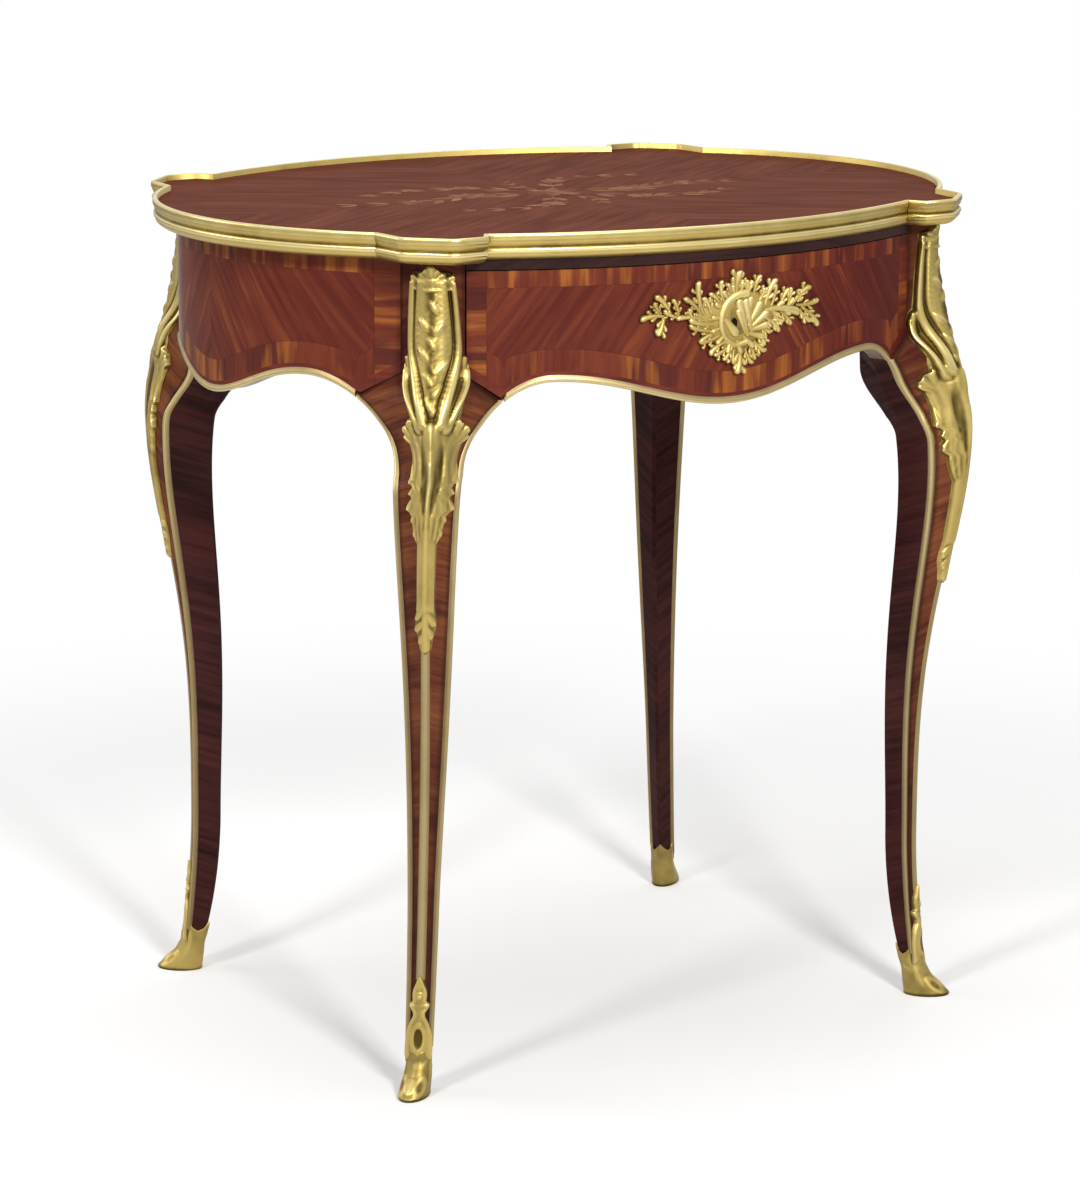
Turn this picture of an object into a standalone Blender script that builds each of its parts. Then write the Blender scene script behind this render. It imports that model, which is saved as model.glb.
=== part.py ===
"""Oval salon table: four cabriole legs, a veneered frieze with one drawer, gilt bronze rim and mounts.

Metres, +Z up.  The origin is on the floor under the middle of the top, X runs along the length,
and the drawer opens towards -Y.  The corner pieces are worked out once, for the corner at +X +Y,
and mirrored by sign to the other three.
"""

import math

import bmesh
import bpy
import numpy as np
from mathutils import Matrix

# Top: overall size and the arcs of its outline
TABLE_HEIGHT = 0.757
TOP_LENGTH = 0.752
TOP_DEPTH = 0.597
LONG_SAGITTA = 0.0516
END_SAGITTA = 0.078
EAR_LENGTH = 0.078
EAR_DEPTH = 0.0564
EAR_LONG_STEP = 0.0145
EAR_STEP_RUN = 0.009
EAR_END_STEP = 0.002
EAR_CHAMFER = 0.034
EAR_SHOULDER_RADIUS = 0.018

# Gilt rim and the boards of the top
RIM_HEIGHT = 0.0229
RIM_DEPTH = 0.012
LIP_WIDTH = 0.0044
LIP_HEIGHT = 0.005
VENEER_THICKNESS = 0.0012

# Frieze: aprons, drawer front and their serpentine lower edge
LONG_INSET = 0.009
END_INSET = 0.022
APRON_THICKNESS = 0.020
POST_LONG_STEP = 0.0130
POST_END_STEP = -0.0045
ARCH_DROP = 0.1045
CENTRE_DROP = 0.133
LONG_ARCH_SPAN = 0.068
LONG_SWEEP_RUN = 0.074
LONG_SWEEP_DROP = 0.105
END_ARCH_SPAN = 0.069
END_SWEEP_RUN = 0.068
END_SWEEP_DROP = 0.085
JOINT_DROP = 0.1205
JOINT_RISE = 0.021

# Legs: reach is outwards from the arris at the top, along the leg's own diagonal
LEG_TURN = math.radians(50.0)
EAR_OVERHANG = 0.0214
KNEE_DROP = 0.182
ANKLE_HEIGHT = 0.157
LEG_BOTTOM = 0.012
KNEE_REACH = 0.0354
ANKLE_REACH = -0.0085
FOOT_REACH = 0.0050
KNEE_DRIFT = 0.0045
FOOT_DRIFT = -0.0145
KNEE_LEAN = 0.0068
KNEE_HALF_WIDTH = 0.0285
ANKLE_HALF_WIDTH = 0.0125
FOOT_HALF_WIDTH = 0.0105
KNEE_RISE = 0.032
ANKLE_RISE = 0.0078
POST_RISE = 0.0174
KNEE_BACK = 0.043
ANKLE_BACK = 0.0245
FOOT_BACK = 0.0095
ARRIS_FLAT = 0.0045
INNER_CHAMFER = 0.004
KNEE_BLEND = 0.018
FOOT_SWING = 1.7
FOOT_TAPER = 2.5
KNEE_SWING = 1.5
POST_SWING = 0.8
WIDTH_SWELL = 1.3
RISE_SWELL = 2.0
BACK_SWELL = 1.6
LEAN_SWELL = 4.0
DRIFT_SWELL = 0.6

# Gilt mounts
FILLET_WIDTH = 0.0055
FILLET_PROUD = 0.0014
FILLET_SHOULDER = 0.8
CHUTE_TOP_DROP = 0.006
CHUTE_LENGTH = 0.329
CHUTE_FRAME_HALF = 0.0206
CHUTE_SCROLL_HALF = 0.0256
CHUTE_LEAF_HALF = 0.0165
CHUTE_STRIP_HALF = 0.0076
CHUTE_FRAME_THICKNESS = 0.0055
CHUTE_THICKNESS = 0.0080
CHUTE_SHOULDER = 0.45
CHUTE_SHOULDER_SHARE = 0.8
CHUTE_LEAST_WING = 0.0008
CHUTE_EDGE = 0.0016
SABOT_HEIGHT = 0.046
SABOT_BUD_HEIGHT = 0.106
SABOT_WALL = 0.0024
SABOT_BUD_SHARPNESS = 6
SOLE_LENGTH = 0.043
SOLE_WIDTH = 0.027
SOLE_TURN = math.radians(38.0)
SOLE_REACH = 0.0040
SOLE_DRIFT = -0.0160
SOLE_SECTIONS = (
    (0.00, 0.86, 0.86, 0.000),
    (0.15, 1.00, 0.96, 0.000),
    (0.30, 0.94, 0.98, -0.105),
    (0.48, 0.88, 1.00, -0.210),
    (0.63, 0.80, 1.00, -0.290),
)
SABOT_WALL_SHARES = (0.62, 0.85, 1.0)
ESCUTCHEON_LENGTH = 0.198
ESCUTCHEON_HEIGHT = 0.091
ESCUTCHEON_DROP = 0.0640
ESCUTCHEON_THICKNESS = 0.008
ESCUTCHEON_LOBES = 12
ESCUTCHEON_LOBE_DEPTH = 0.10
ESCUTCHEON_SQUARENESS = 0.8

# Drawer and the rails that carry it
TOP_RAIL_HEIGHT = 0.0085
TOP_RAIL_DEPTH = 0.034
DRAWER_CLEARANCE = 0.0010
DRAWER_SIDE = 0.010
DRAWER_BOTTOM = 0.006
DRAWER_DEPTH_SHARE = 0.67
DRAWER_SIDE_DROP = 0.003
RUNNER_WIDTH = 0.026
RUNNER_HEIGHT = 0.008
SCREW_SPACING_SHARE = 0.40
SCREW_LENGTH = 0.016
SCREW_DIAMETER = 0.004
SCREW_HEAD = 0.0078

# Lock
LOCK_WIDTH = 0.046
LOCK_HEIGHT = 0.036
LOCK_THICKNESS = 0.010
LOCK_LET_IN = 0.0065
BOLT_WIDTH = 0.014
BOLT_THICKNESS = 0.0045
BOLT_LENGTH = 0.024
BOLT_THROW = 0.006
BOLT_CLEARANCE = 0.0005
STRIKE_LENGTH = 0.040
STRIKE_WIDTH = 0.011
STRIKE_THICKNESS = 0.0015
KEYHOLE_DIAMETER = 0.006

# Fits
FIT_GAP = 0.0003
MOUNT_GAP = 0.0004
CHUTE_GAP = 0.0010
ESCUTCHEON_GAP = 0.0008
CUTTER_OVERRUN = 0.005

# Values worked out from the driving dimensions
UNDERSIDE = TABLE_HEIGHT - RIM_HEIGHT
FRAME_TOP = UNDERSIDE - FIT_GAP
WOOD_SURFACE = TABLE_HEIGHT - LIP_HEIGHT
LONG_HALF_CHORD = TOP_LENGTH / 2 - END_SAGITTA - EAR_LENGTH
END_HALF_CHORD = TOP_DEPTH / 2 - LONG_SAGITTA - EAR_DEPTH
LONG_RADIUS = (LONG_HALF_CHORD ** 2 + LONG_SAGITTA ** 2) / (2 * LONG_SAGITTA)
END_RADIUS = (END_HALF_CHORD ** 2 + END_SAGITTA ** 2) / (2 * END_SAGITTA)
LONG_CENTRE = LONG_RADIUS - TOP_DEPTH / 2
END_CENTRE = TOP_LENGTH / 2 - END_RADIUS
LONG_JOINT = np.array([LONG_HALF_CHORD, TOP_DEPTH / 2 - LONG_SAGITTA])
END_JOINT = np.array([TOP_LENGTH / 2 - END_SAGITTA, END_HALF_CHORD])
EAR_CORNER = np.array([END_JOINT[0] - EAR_END_STEP, LONG_JOINT[1] + EAR_LONG_STEP])
OUTWARD = np.array([math.cos(LEG_TURN), math.sin(LEG_TURN)])
SIDEWAYS = np.array([-math.sin(LEG_TURN), math.cos(LEG_TURN)])
ARRIS_TOP = EAR_CORNER - EAR_CHAMFER / 2 - EAR_OVERHANG * OUTWARD
ARCH_Z = UNDERSIDE - ARCH_DROP
CENTRE_Z = UNDERSIDE - CENTRE_DROP
JOINT_Z = UNDERSIDE - JOINT_DROP
KNEE_Z = UNDERSIDE - KNEE_DROP
POST_LONG_X = LONG_HALF_CHORD + POST_LONG_STEP
POST_END_Y = END_HALF_CHORD + POST_END_STEP
LONG_ARCH_AT = POST_LONG_X - LONG_ARCH_SPAN
END_ARCH_AT = POST_END_Y - END_ARCH_SPAN
DRAWER_BOX_DEPTH = DRAWER_DEPTH_SHARE * TOP_DEPTH
SCREW_SPACING = SCREW_SPACING_SHARE * TOP_DEPTH
DRAWER_TOP = FRAME_TOP - TOP_RAIL_HEIGHT - DRAWER_CLEARANCE
FILLET_FOOT = SABOT_HEIGHT + 0.08 * (SABOT_BUD_HEIGHT - SABOT_HEIGHT) + FIT_GAP
TOEWARD = np.array([math.cos(SOLE_TURN), math.sin(SOLE_TURN)])
TOE_SIDE = np.array([-math.sin(SOLE_TURN), math.cos(SOLE_TURN)])
CORNERS = {"front_left": (-1, -1), "front_right": (1, -1), "back_left": (-1, 1), "back_right": (1, 1)}


def clear_scene():
    """Empty the file of objects and make the collections for the parts and for the cutters."""
    for old in list(bpy.data.objects):
        bpy.data.objects.remove(old)
    for name in ("salon_table", "cutters"):
        if name not in bpy.data.collections:
            bpy.context.scene.collection.children.link(bpy.data.collections.new(name))


def finish(name, colour, roughness, metallic=0.0):
    """One Principled material."""
    material = bpy.data.materials.new(name)
    material.use_nodes = True
    shader = material.node_tree.nodes["Principled BSDF"]
    shader.inputs["Base Color"].default_value = (*colour, 1.0)
    shader.inputs["Roughness"].default_value = roughness
    shader.inputs["Metallic"].default_value = metallic
    return material


def add_part(name, mesh, material, parent=None, smooth_angle=35):
    """Put a mesh into the table's collection as a named part with a material of its own."""
    part = bpy.data.objects.new(name, mesh)
    bpy.data.collections["salon_table"].objects.link(part)
    own = material.copy()
    own.name = name + "_finish"
    mesh.materials.clear()
    mesh.materials.append(own)
    mesh.shade_smooth()
    mesh.set_sharp_from_angle(angle=math.radians(smooth_angle))
    if parent is not None:
        part.parent = parent
        part.matrix_parent_inverse = parent.matrix_world.inverted()
    return part


def add_cutter(name, mesh):
    """Put a mesh into the cutters' collection, hidden from renders."""
    cutter = bpy.data.objects.new(name, mesh)
    bpy.data.collections["cutters"].objects.link(cutter)
    cutter.hide_render = True
    cutter.display_type = "WIRE"
    return cutter


def cut(part, cutter):
    """Take one closed cutter away from a part."""
    modifier = part.modifiers.new("cut_" + cutter.name, "BOOLEAN")
    modifier.operation = "DIFFERENCE"
    modifier.solver = "EXACT"
    modifier.object = cutter


def loft_mesh(name, rings):
    """Skin a row of rings that have the same number of points and close both ends."""
    rings = np.asarray(rings, dtype=float)
    count = rings.shape[1]
    build = bmesh.new()
    points = [[build.verts.new(point) for point in ring] for ring in rings]
    for low, high in zip(points[:-1], points[1:]):
        for i in range(count):
            j = (i + 1) % count
            build.faces.new((low[i], low[j], high[j]))
            build.faces.new((low[i], high[j], high[i]))
    build.faces.new(points[0])
    build.faces.new(points[-1])
    bmesh.ops.recalc_face_normals(build, faces=build.faces)
    mesh = bpy.data.meshes.new(name)
    build.to_mesh(mesh)
    build.free()
    return mesh


def block_mesh(name, low, high):
    """A cube primitive stretched between two corners."""
    low = np.asarray(low, dtype=float)
    high = np.asarray(high, dtype=float)
    build = bmesh.new()
    bmesh.ops.create_cube(build, size=1.0)
    bmesh.ops.scale(build, vec=high - low, verts=build.verts)
    bmesh.ops.translate(build, vec=(low + high) / 2, verts=build.verts)
    mesh = bpy.data.meshes.new(name)
    build.to_mesh(mesh)
    build.free()
    return mesh


def rod_mesh(name, radius, length, middle, along="Z", sides=16):
    """A cylinder primitive about its middle, along Y or Z."""
    build = bmesh.new()
    bmesh.ops.create_cone(build, cap_ends=True, segments=sides, radius1=radius, radius2=radius, depth=length)
    if along == "Y":
        bmesh.ops.rotate(build, verts=build.verts, matrix=Matrix.Rotation(math.pi / 2, 3, "X"))
    bmesh.ops.translate(build, vec=middle, verts=build.verts)
    mesh = bpy.data.meshes.new(name)
    build.to_mesh(mesh)
    build.free()
    return mesh


def board_mesh(name, plan, low, high):
    """A flat outline given in plan, filled and raised from one height to another."""
    curve = bpy.data.curves.new(name + "_outline", "CURVE")
    curve.dimensions = "2D"
    curve.fill_mode = "BOTH"
    curve.extrude = (high - low) / 2
    spline = curve.splines.new("POLY")
    spline.points.add(len(plan) - 1)
    for point, (x, y) in zip(spline.points, plan):
        point.co = (x, y, 0.0, 1.0)
    spline.use_cyclic_u = True
    outline = bpy.data.objects.new(name + "_outline", curve)
    bpy.context.scene.collection.objects.link(outline)
    bpy.context.view_layer.update()
    evaluated = outline.evaluated_get(bpy.context.evaluated_depsgraph_get())
    mesh = bpy.data.meshes.new_from_object(evaluated)
    bpy.data.objects.remove(outline)
    build = bmesh.new()
    build.from_mesh(mesh)
    bmesh.ops.remove_doubles(build, verts=build.verts, dist=0.00001)
    bmesh.ops.translate(build, vec=(0.0, 0.0, (low + high) / 2), verts=build.verts)
    bmesh.ops.recalc_face_normals(build, faces=build.faces)
    build.to_mesh(mesh)
    build.free()
    mesh.name = name
    return mesh


def turned_part(name, profile, place, material):
    """A profile of (radius, height) points, top to bottom, turned about Z with a Screw modifier."""
    mesh = bpy.data.meshes.new(name)
    edges = [(i, i + 1) for i in range(len(profile) - 1)]
    mesh.from_pydata([(radius, 0.0, height) for radius, height in profile], edges, [])
    part = add_part(name, mesh, material)
    part.location = place
    turn = part.modifiers.new("turn", "SCREW")
    turn.axis = "Z"
    turn.steps = 12
    turn.render_steps = 12
    turn.use_merge_vertices = True
    turn.merge_threshold = 0.00001
    return part


def unit(vector):
    """Vectors of length one along the last axis."""
    return vector / np.linalg.norm(vector, axis=-1, keepdims=True)


def ease(value):
    """Smooth step from 0 to 1."""
    value = np.clip(value, 0.0, 1.0)
    return value * value * (3 - 2 * value)


def long_point(x, inset, z):
    """A point on the long side (+Y), straight in from x on the outer face of the frieze."""
    angle = np.arcsin(x / (LONG_RADIUS - LONG_INSET))
    radius = LONG_RADIUS - inset
    return np.array([radius * np.sin(angle), radius * np.cos(angle) - LONG_CENTRE, z])


def end_point(y, inset, z):
    """A point on the end (+X), straight in from y on the outer face of the frieze."""
    angle = np.arcsin(y / (END_RADIUS - END_INSET))
    radius = END_RADIUS - inset
    return np.array([radius * np.cos(angle) + END_CENTRE, radius * np.sin(angle), z])


def sweep_place(z, arch_at, run, drop):
    """Where the lower edge stands at height z: a quarter ellipse from the arch out to the leg."""
    fall = np.clip((ARCH_Z - z) / drop, 0.0, 1.0)
    return arch_at + run * math.sqrt(1 - (1 - fall) ** 2)


LONG_JOINT_AT = sweep_place(JOINT_Z, LONG_ARCH_AT, LONG_SWEEP_RUN, LONG_SWEEP_DROP)
END_JOINT_AT = sweep_place(JOINT_Z, END_ARCH_AT, END_SWEEP_RUN, END_SWEEP_DROP)


def lower_edge(at, arch_at, run, drop, joint_at, post_at):
    """Height of the lower edge: a wave to the arch, the quarter ellipse, then the slanted joint."""
    at = abs(at)
    if at <= arch_at:
        return CENTRE_Z + (ARCH_Z - CENTRE_Z) * (1 - math.cos(math.pi * at / arch_at)) / 2
    if at <= joint_at:
        return ARCH_Z - drop * (1 - math.sqrt(1 - ((at - arch_at) / run) ** 2))
    return JOINT_Z + JOINT_RISE * (at - joint_at) / (post_at - joint_at) + 2 * FIT_GAP


def long_lower_edge(x):
    """Lower edge of the long aprons and the drawer front."""
    return lower_edge(x, LONG_ARCH_AT, LONG_SWEEP_RUN, LONG_SWEEP_DROP, LONG_JOINT_AT, POST_LONG_X)


def end_lower_edge(y):
    """Lower edge of the end aprons."""
    return lower_edge(y, END_ARCH_AT, END_SWEEP_RUN, END_SWEEP_DROP, END_JOINT_AT, POST_END_Y)


# Top outline

def arc_points(start, stop, count, radius, centre):
    """Points on a circle from one angle to another."""
    angles = np.linspace(start, stop, count)
    return np.stack([centre[0] + radius * np.cos(angles), centre[1] + radius * np.sin(angles)], axis=1)


END_STEPS = 6
LONG_STEPS = 7


def ear_points():
    """The ear over the leg: flank, shoulder, flat nose, shoulder, flank and the step to the long side."""
    radius = EAR_SHOULDER_RADIUS
    tangent = radius * math.tan(math.pi / 8)
    right_shoulder = EAR_CORNER + (-radius, -EAR_CHAMFER - tangent)
    left_shoulder = EAR_CORNER + (-EAR_CHAMFER - tangent, -radius)
    step_end = np.array([LONG_JOINT[0] + EAR_STEP_RUN, EAR_CORNER[1]])
    return np.concatenate([
        arc_points(0.0, math.pi / 4, 3, radius, right_shoulder),
        arc_points(math.pi / 4, math.pi / 2, 3, radius, left_shoulder),
        [step_end]])


def quadrant_outline():
    """Outline of the top in the corner at +X +Y, from the middle of the end to the middle of the side."""
    end_turn = math.asin(END_HALF_CHORD / END_RADIUS)
    long_turn = math.asin(LONG_HALF_CHORD / LONG_RADIUS)
    end_arc = arc_points(0.0, end_turn, END_STEPS + 1, END_RADIUS, (END_CENTRE, 0.0))
    start = math.pi / 2 - long_turn
    long_arc = arc_points(start, math.pi / 2, LONG_STEPS + 1, LONG_RADIUS, (0.0, -LONG_CENTRE))
    return np.concatenate([end_arc, ear_points(), long_arc])


def top_outline():
    """The whole outline, counter-clockwise from the middle of the +X end."""
    corner = quadrant_outline()
    back = corner[::-1][1:] * (-1, 1)
    left = -corner[1:]
    front = corner[::-1][1:-1] * (1, -1)
    return np.concatenate([corner, back, left, front])


def inset_outline(points, inset):
    """Move a closed outline inwards by the same distance everywhere, mitred at its corners."""
    before = unit(points - np.roll(points, 1, axis=0))
    after = unit(np.roll(points, -1, axis=0) - points)
    normal_before = np.stack([-before[:, 1], before[:, 0]], axis=1)
    normal_after = np.stack([-after[:, 1], after[:, 0]], axis=1)
    bisector = normal_before + normal_after
    stretch = 2.0 / np.sum(bisector ** 2, axis=1, keepdims=True)
    return points + inset * bisector * stretch


def outline_ring(inset, z):
    """The inset outline at one height."""
    plan = inset_outline(top_outline(), inset)
    return np.column_stack([plan, np.full(len(plan), z)])


RIM_SEAT_TOP = 0.46 * RIM_HEIGHT
RIM_SEAT_LOW = 0.80 * RIM_HEIGHT
RIM_PROFILE = (
    (0.0000, 0.08 * RIM_HEIGHT),
    (0.30 * LIP_WIDTH, 0.0000),
    (LIP_WIDTH, 0.0000),
    (LIP_WIDTH, RIM_SEAT_TOP),
    (RIM_DEPTH, RIM_SEAT_LOW),
    (RIM_DEPTH, RIM_HEIGHT),
    (0.66 * RIM_DEPTH, RIM_HEIGHT),
    (0.52 * RIM_DEPTH, 0.88 * RIM_HEIGHT),
    (0.42 * LIP_WIDTH, 0.80 * RIM_HEIGHT),
    (0.36 * LIP_WIDTH, 0.64 * RIM_HEIGHT),
    (0.70 * LIP_WIDTH, 0.56 * RIM_HEIGHT),
    (0.66 * LIP_WIDTH, 0.36 * RIM_HEIGHT),
    (0.0000, 0.27 * RIM_HEIGHT),
)


def make_top(woods):
    """The core board of the top and the veneered sheet on it."""
    core_top = WOOD_SURFACE - VENEER_THICKNESS - FIT_GAP
    inner = RIM_DEPTH + FIT_GAP
    outer = LIP_WIDTH + FIT_GAP
    core = loft_mesh("top_panel", [
        outline_ring(inner, UNDERSIDE),
        outline_ring(inner, TABLE_HEIGHT - RIM_SEAT_LOW + FIT_GAP),
        outline_ring(outer, TABLE_HEIGHT - RIM_SEAT_TOP + FIT_GAP),
        outline_ring(outer, core_top)])
    veneer = loft_mesh("top_veneer", [
        outline_ring(outer, core_top + FIT_GAP),
        outline_ring(outer, WOOD_SURFACE)])
    add_part("top_veneer", veneer, woods["top"])
    return add_part("top_panel", core, woods["core"])


def make_rim(gilt):
    """The rim: four long castings and four ears, butted at the re-entrant corners."""
    outline = top_outline()
    total = len(outline)
    rails = [np.column_stack([inset_outline(outline, inset), np.full(total, TABLE_HEIGHT - fall)])
             for inset, fall in RIM_PROFILE]
    rings = np.stack(rails, axis=1)
    ear = len(ear_points()) + 1
    quarter = END_STEPS + ear + LONG_STEPS
    spans = {}
    for number, corner in enumerate(("back_right", "back_left", "front_left", "front_right")):
        start = number * quarter + (END_STEPS if number % 2 == 0 else LONG_STEPS)
        spans["rim_ear_" + corner] = (start, start + ear)
    spans["rim_right"] = (-END_STEPS, END_STEPS)
    spans["rim_back"] = (quarter - LONG_STEPS, quarter + LONG_STEPS)
    spans["rim_left"] = (2 * quarter - END_STEPS, 2 * quarter + END_STEPS)
    spans["rim_front"] = (3 * quarter - LONG_STEPS, 3 * quarter + LONG_STEPS)
    for name, (start, stop) in spans.items():
        section = rings[np.arange(start, stop + 1) % total].copy()
        for end, beside in ((0, 1), (-1, -2)):
            along = unit(section[beside] - section[end])
            section[end] += along * FIT_GAP
        add_part(name, loft_mesh(name, section), gilt)


# Legs

def leg_measures(z):
    """Reach, drift, lean, half width, rise and depth of the leg's section at height z."""
    if z <= ANKLE_HEIGHT:
        down = (ANKLE_HEIGHT - z) / ANKLE_HEIGHT
        reach = ANKLE_REACH + (FOOT_REACH - ANKLE_REACH) * down ** FOOT_SWING
        half = ANKLE_HALF_WIDTH + (FOOT_HALF_WIDTH - ANKLE_HALF_WIDTH) * down
        rise = ANKLE_RISE
        lean = 0.0
        back = ANKLE_BACK + (FOOT_BACK - ANKLE_BACK) * down ** FOOT_TAPER
    elif z <= KNEE_Z:
        up = (z - ANKLE_HEIGHT) / (KNEE_Z - ANKLE_HEIGHT)
        reach = ANKLE_REACH + (KNEE_REACH - ANKLE_REACH) * (1 - math.cos(math.pi * up ** KNEE_SWING)) / 2
        half = ANKLE_HALF_WIDTH + (KNEE_HALF_WIDTH - ANKLE_HALF_WIDTH) * up ** WIDTH_SWELL
        rise = ANKLE_RISE + (KNEE_RISE - ANKLE_RISE) * up ** RISE_SWELL
        back = ANKLE_BACK + (KNEE_BACK - ANKLE_BACK) * up ** BACK_SWELL
        lean = KNEE_LEAN * up ** LEAN_SWELL
    else:
        up = (z - KNEE_Z) / (UNDERSIDE - KNEE_Z)
        reach = KNEE_REACH * (1 + math.cos(math.pi * up ** POST_SWING)) / 2
        half = KNEE_HALF_WIDTH
        rise = KNEE_RISE + (POST_RISE - KNEE_RISE) * up
        back = KNEE_BACK
        lean = KNEE_LEAN
    drift = KNEE_DRIFT + (FOOT_DRIFT - KNEE_DRIFT) * max(0.0, 1 - z / KNEE_Z) ** DRIFT_SWELL
    drift *= 1 - ease((z - KNEE_Z) / (UNDERSIDE - KNEE_Z))
    return reach, drift, lean, half, rise, back


def post_edges(z):
    """The two edges where the post meets the aprons, at height z."""
    if z <= JOINT_Z:
        long_at = sweep_place(z, LONG_ARCH_AT, LONG_SWEEP_RUN, LONG_SWEEP_DROP)
        end_at = sweep_place(z, END_ARCH_AT, END_SWEEP_RUN, END_SWEEP_DROP)
    else:
        slant = min(1.0, (z - JOINT_Z) / JOINT_RISE)
        long_at = LONG_JOINT_AT + (POST_LONG_X - LONG_JOINT_AT) * slant
        end_at = END_JOINT_AT + (POST_END_Y - END_JOINT_AT) * slant
    return long_at, end_at


def leg_section(z):
    """Named corners of the leg in plan at height z, for the corner at +X +Y."""
    reach, drift, lean, half, rise, back = leg_measures(z)
    arris = ARRIS_TOP + reach * OUTWARD + drift * SIDEWAYS
    middle = arris - rise * OUTWARD - lean * SIDEWAYS
    long_at, end_at = post_edges(z)
    to_post = ease((z - KNEE_Z + KNEE_BLEND) / (JOINT_Z - KNEE_Z))
    long_post = long_point(long_at, LONG_INSET, z)[:2]
    end_post = end_point(end_at, END_INSET, z)[:2]
    long_edge = (1 - to_post) * (middle + half * SIDEWAYS) + to_post * long_post
    end_edge = (1 - to_post) * (middle - half * SIDEWAYS) + to_post * end_post
    post_inner = np.array([
        long_point(POST_LONG_X, LONG_INSET + APRON_THICKNESS, z)[0],
        end_point(POST_END_Y, END_INSET + APRON_THICKNESS, z)[1]])
    inner = (1 - to_post) * (middle - back * OUTWARD) + to_post * post_inner
    long_back = long_point(long_at, LONG_INSET + APRON_THICKNESS, z)[:2]
    end_back = end_point(end_at, END_INSET + APRON_THICKNESS, z)[:2]
    long_inner = (1 - to_post) * (long_edge + inner) / 2 + to_post * long_back
    end_inner = (1 - to_post) * (end_edge + inner) / 2 + to_post * end_back
    return arris, long_edge, long_inner, inner, end_inner, end_edge


def seat_width(z):
    """Width of the chamfer that seats an edge fillet: it runs out above the apron joint."""
    return FILLET_WIDTH * (1 - 0.9 * ease((z - JOINT_Z) / JOINT_RISE))


def leg_ring(z):
    """The leg's outline in plan at height z: arris flat, two faces, seated edges and inner corner."""
    arris, long_edge, long_inner, inner, end_inner, end_edge = leg_section(z)
    width = seat_width(z)
    long_face = min(CHUTE_SEAT, (ARRIS_FLAT + np.linalg.norm(long_edge - arris) - width) / 2)
    end_face = min(CHUTE_SEAT, (ARRIS_FLAT + np.linalg.norm(end_edge - arris) - width) / 2)
    return np.array([
        arris + ARRIS_FLAT * unit(long_edge - arris),
        arris + long_face * unit(long_edge - arris),
        long_edge + width * unit(arris - long_edge),
        long_edge + width * unit(long_inner - long_edge),
        long_inner,
        inner + INNER_CHAMFER * unit(long_inner - inner),
        inner + INNER_CHAMFER * unit(end_inner - inner),
        end_inner,
        end_edge + width * unit(end_inner - end_edge),
        end_edge + width * unit(arris - end_edge),
        arris + end_face * unit(end_edge - arris),
        arris + ARRIS_FLAT * unit(end_edge - arris)])


CHUTE_SEAT = CHUTE_SCROLL_HALF + ARRIS_FLAT
CHUTE_TOP = UNDERSIDE - CHUTE_TOP_DROP
FILLET_TOP = JOINT_Z - FILLET_PROUD - FIT_GAP
CHUTE_BOTTOM = CHUTE_TOP - CHUTE_LENGTH
LEG_LEVELS = np.concatenate([
    np.linspace(LEG_BOTTOM, CHUTE_BOTTOM, 10),
    np.linspace(CHUTE_BOTTOM, KNEE_Z, 9)[1:],
    np.linspace(KNEE_Z, FILLET_TOP, 8)[1:],
    np.linspace(JOINT_Z, JOINT_Z + JOINT_RISE, 3),
    np.linspace(JOINT_Z + JOINT_RISE, CHUTE_TOP, 8)[1:],
    [FRAME_TOP]])
LEG_RINGS = np.array([leg_ring(z) for z in LEG_LEVELS])


def facet_ring(z):
    """The leg's outline at height z, read off its faceted surface."""
    place = np.clip(np.searchsorted(LEG_LEVELS, z) - 1, 0, len(LEG_LEVELS) - 2)
    share = (z - LEG_LEVELS[place]) / (LEG_LEVELS[place + 1] - LEG_LEVELS[place])
    return LEG_RINGS[place] * (1 - share) + LEG_RINGS[place + 1] * share


def raise_ring(plan, z):
    """A ring in plan lifted to height z."""
    return np.column_stack([plan, np.full(len(plan), z)])


def make_leg(corner, signs, wood):
    """One cabriole leg with its post, cut from one piece."""
    rings = [raise_ring(plan, z) for plan, z in zip(LEG_RINGS, LEG_LEVELS)]
    name = "leg_" + corner
    add_part(name, loft_mesh(name, np.array(rings) * (*signs, 1)), wood)


def bead_section(edge, along_face, along_back, width):
    """Section of a gilt edge fillet that sits in a chamfer of the given width and stands a little proud."""
    out = -unit(along_face + along_back)
    return np.array([
        edge + width * along_face + MOUNT_GAP * out,
        edge + FILLET_SHOULDER * width * along_face + (MOUNT_GAP + FILLET_PROUD) * out,
        edge + FILLET_PROUD * out,
        edge + FILLET_SHOULDER * width * along_back + (MOUNT_GAP + FILLET_PROUD) * out,
        edge + width * along_back + MOUNT_GAP * out])


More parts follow.
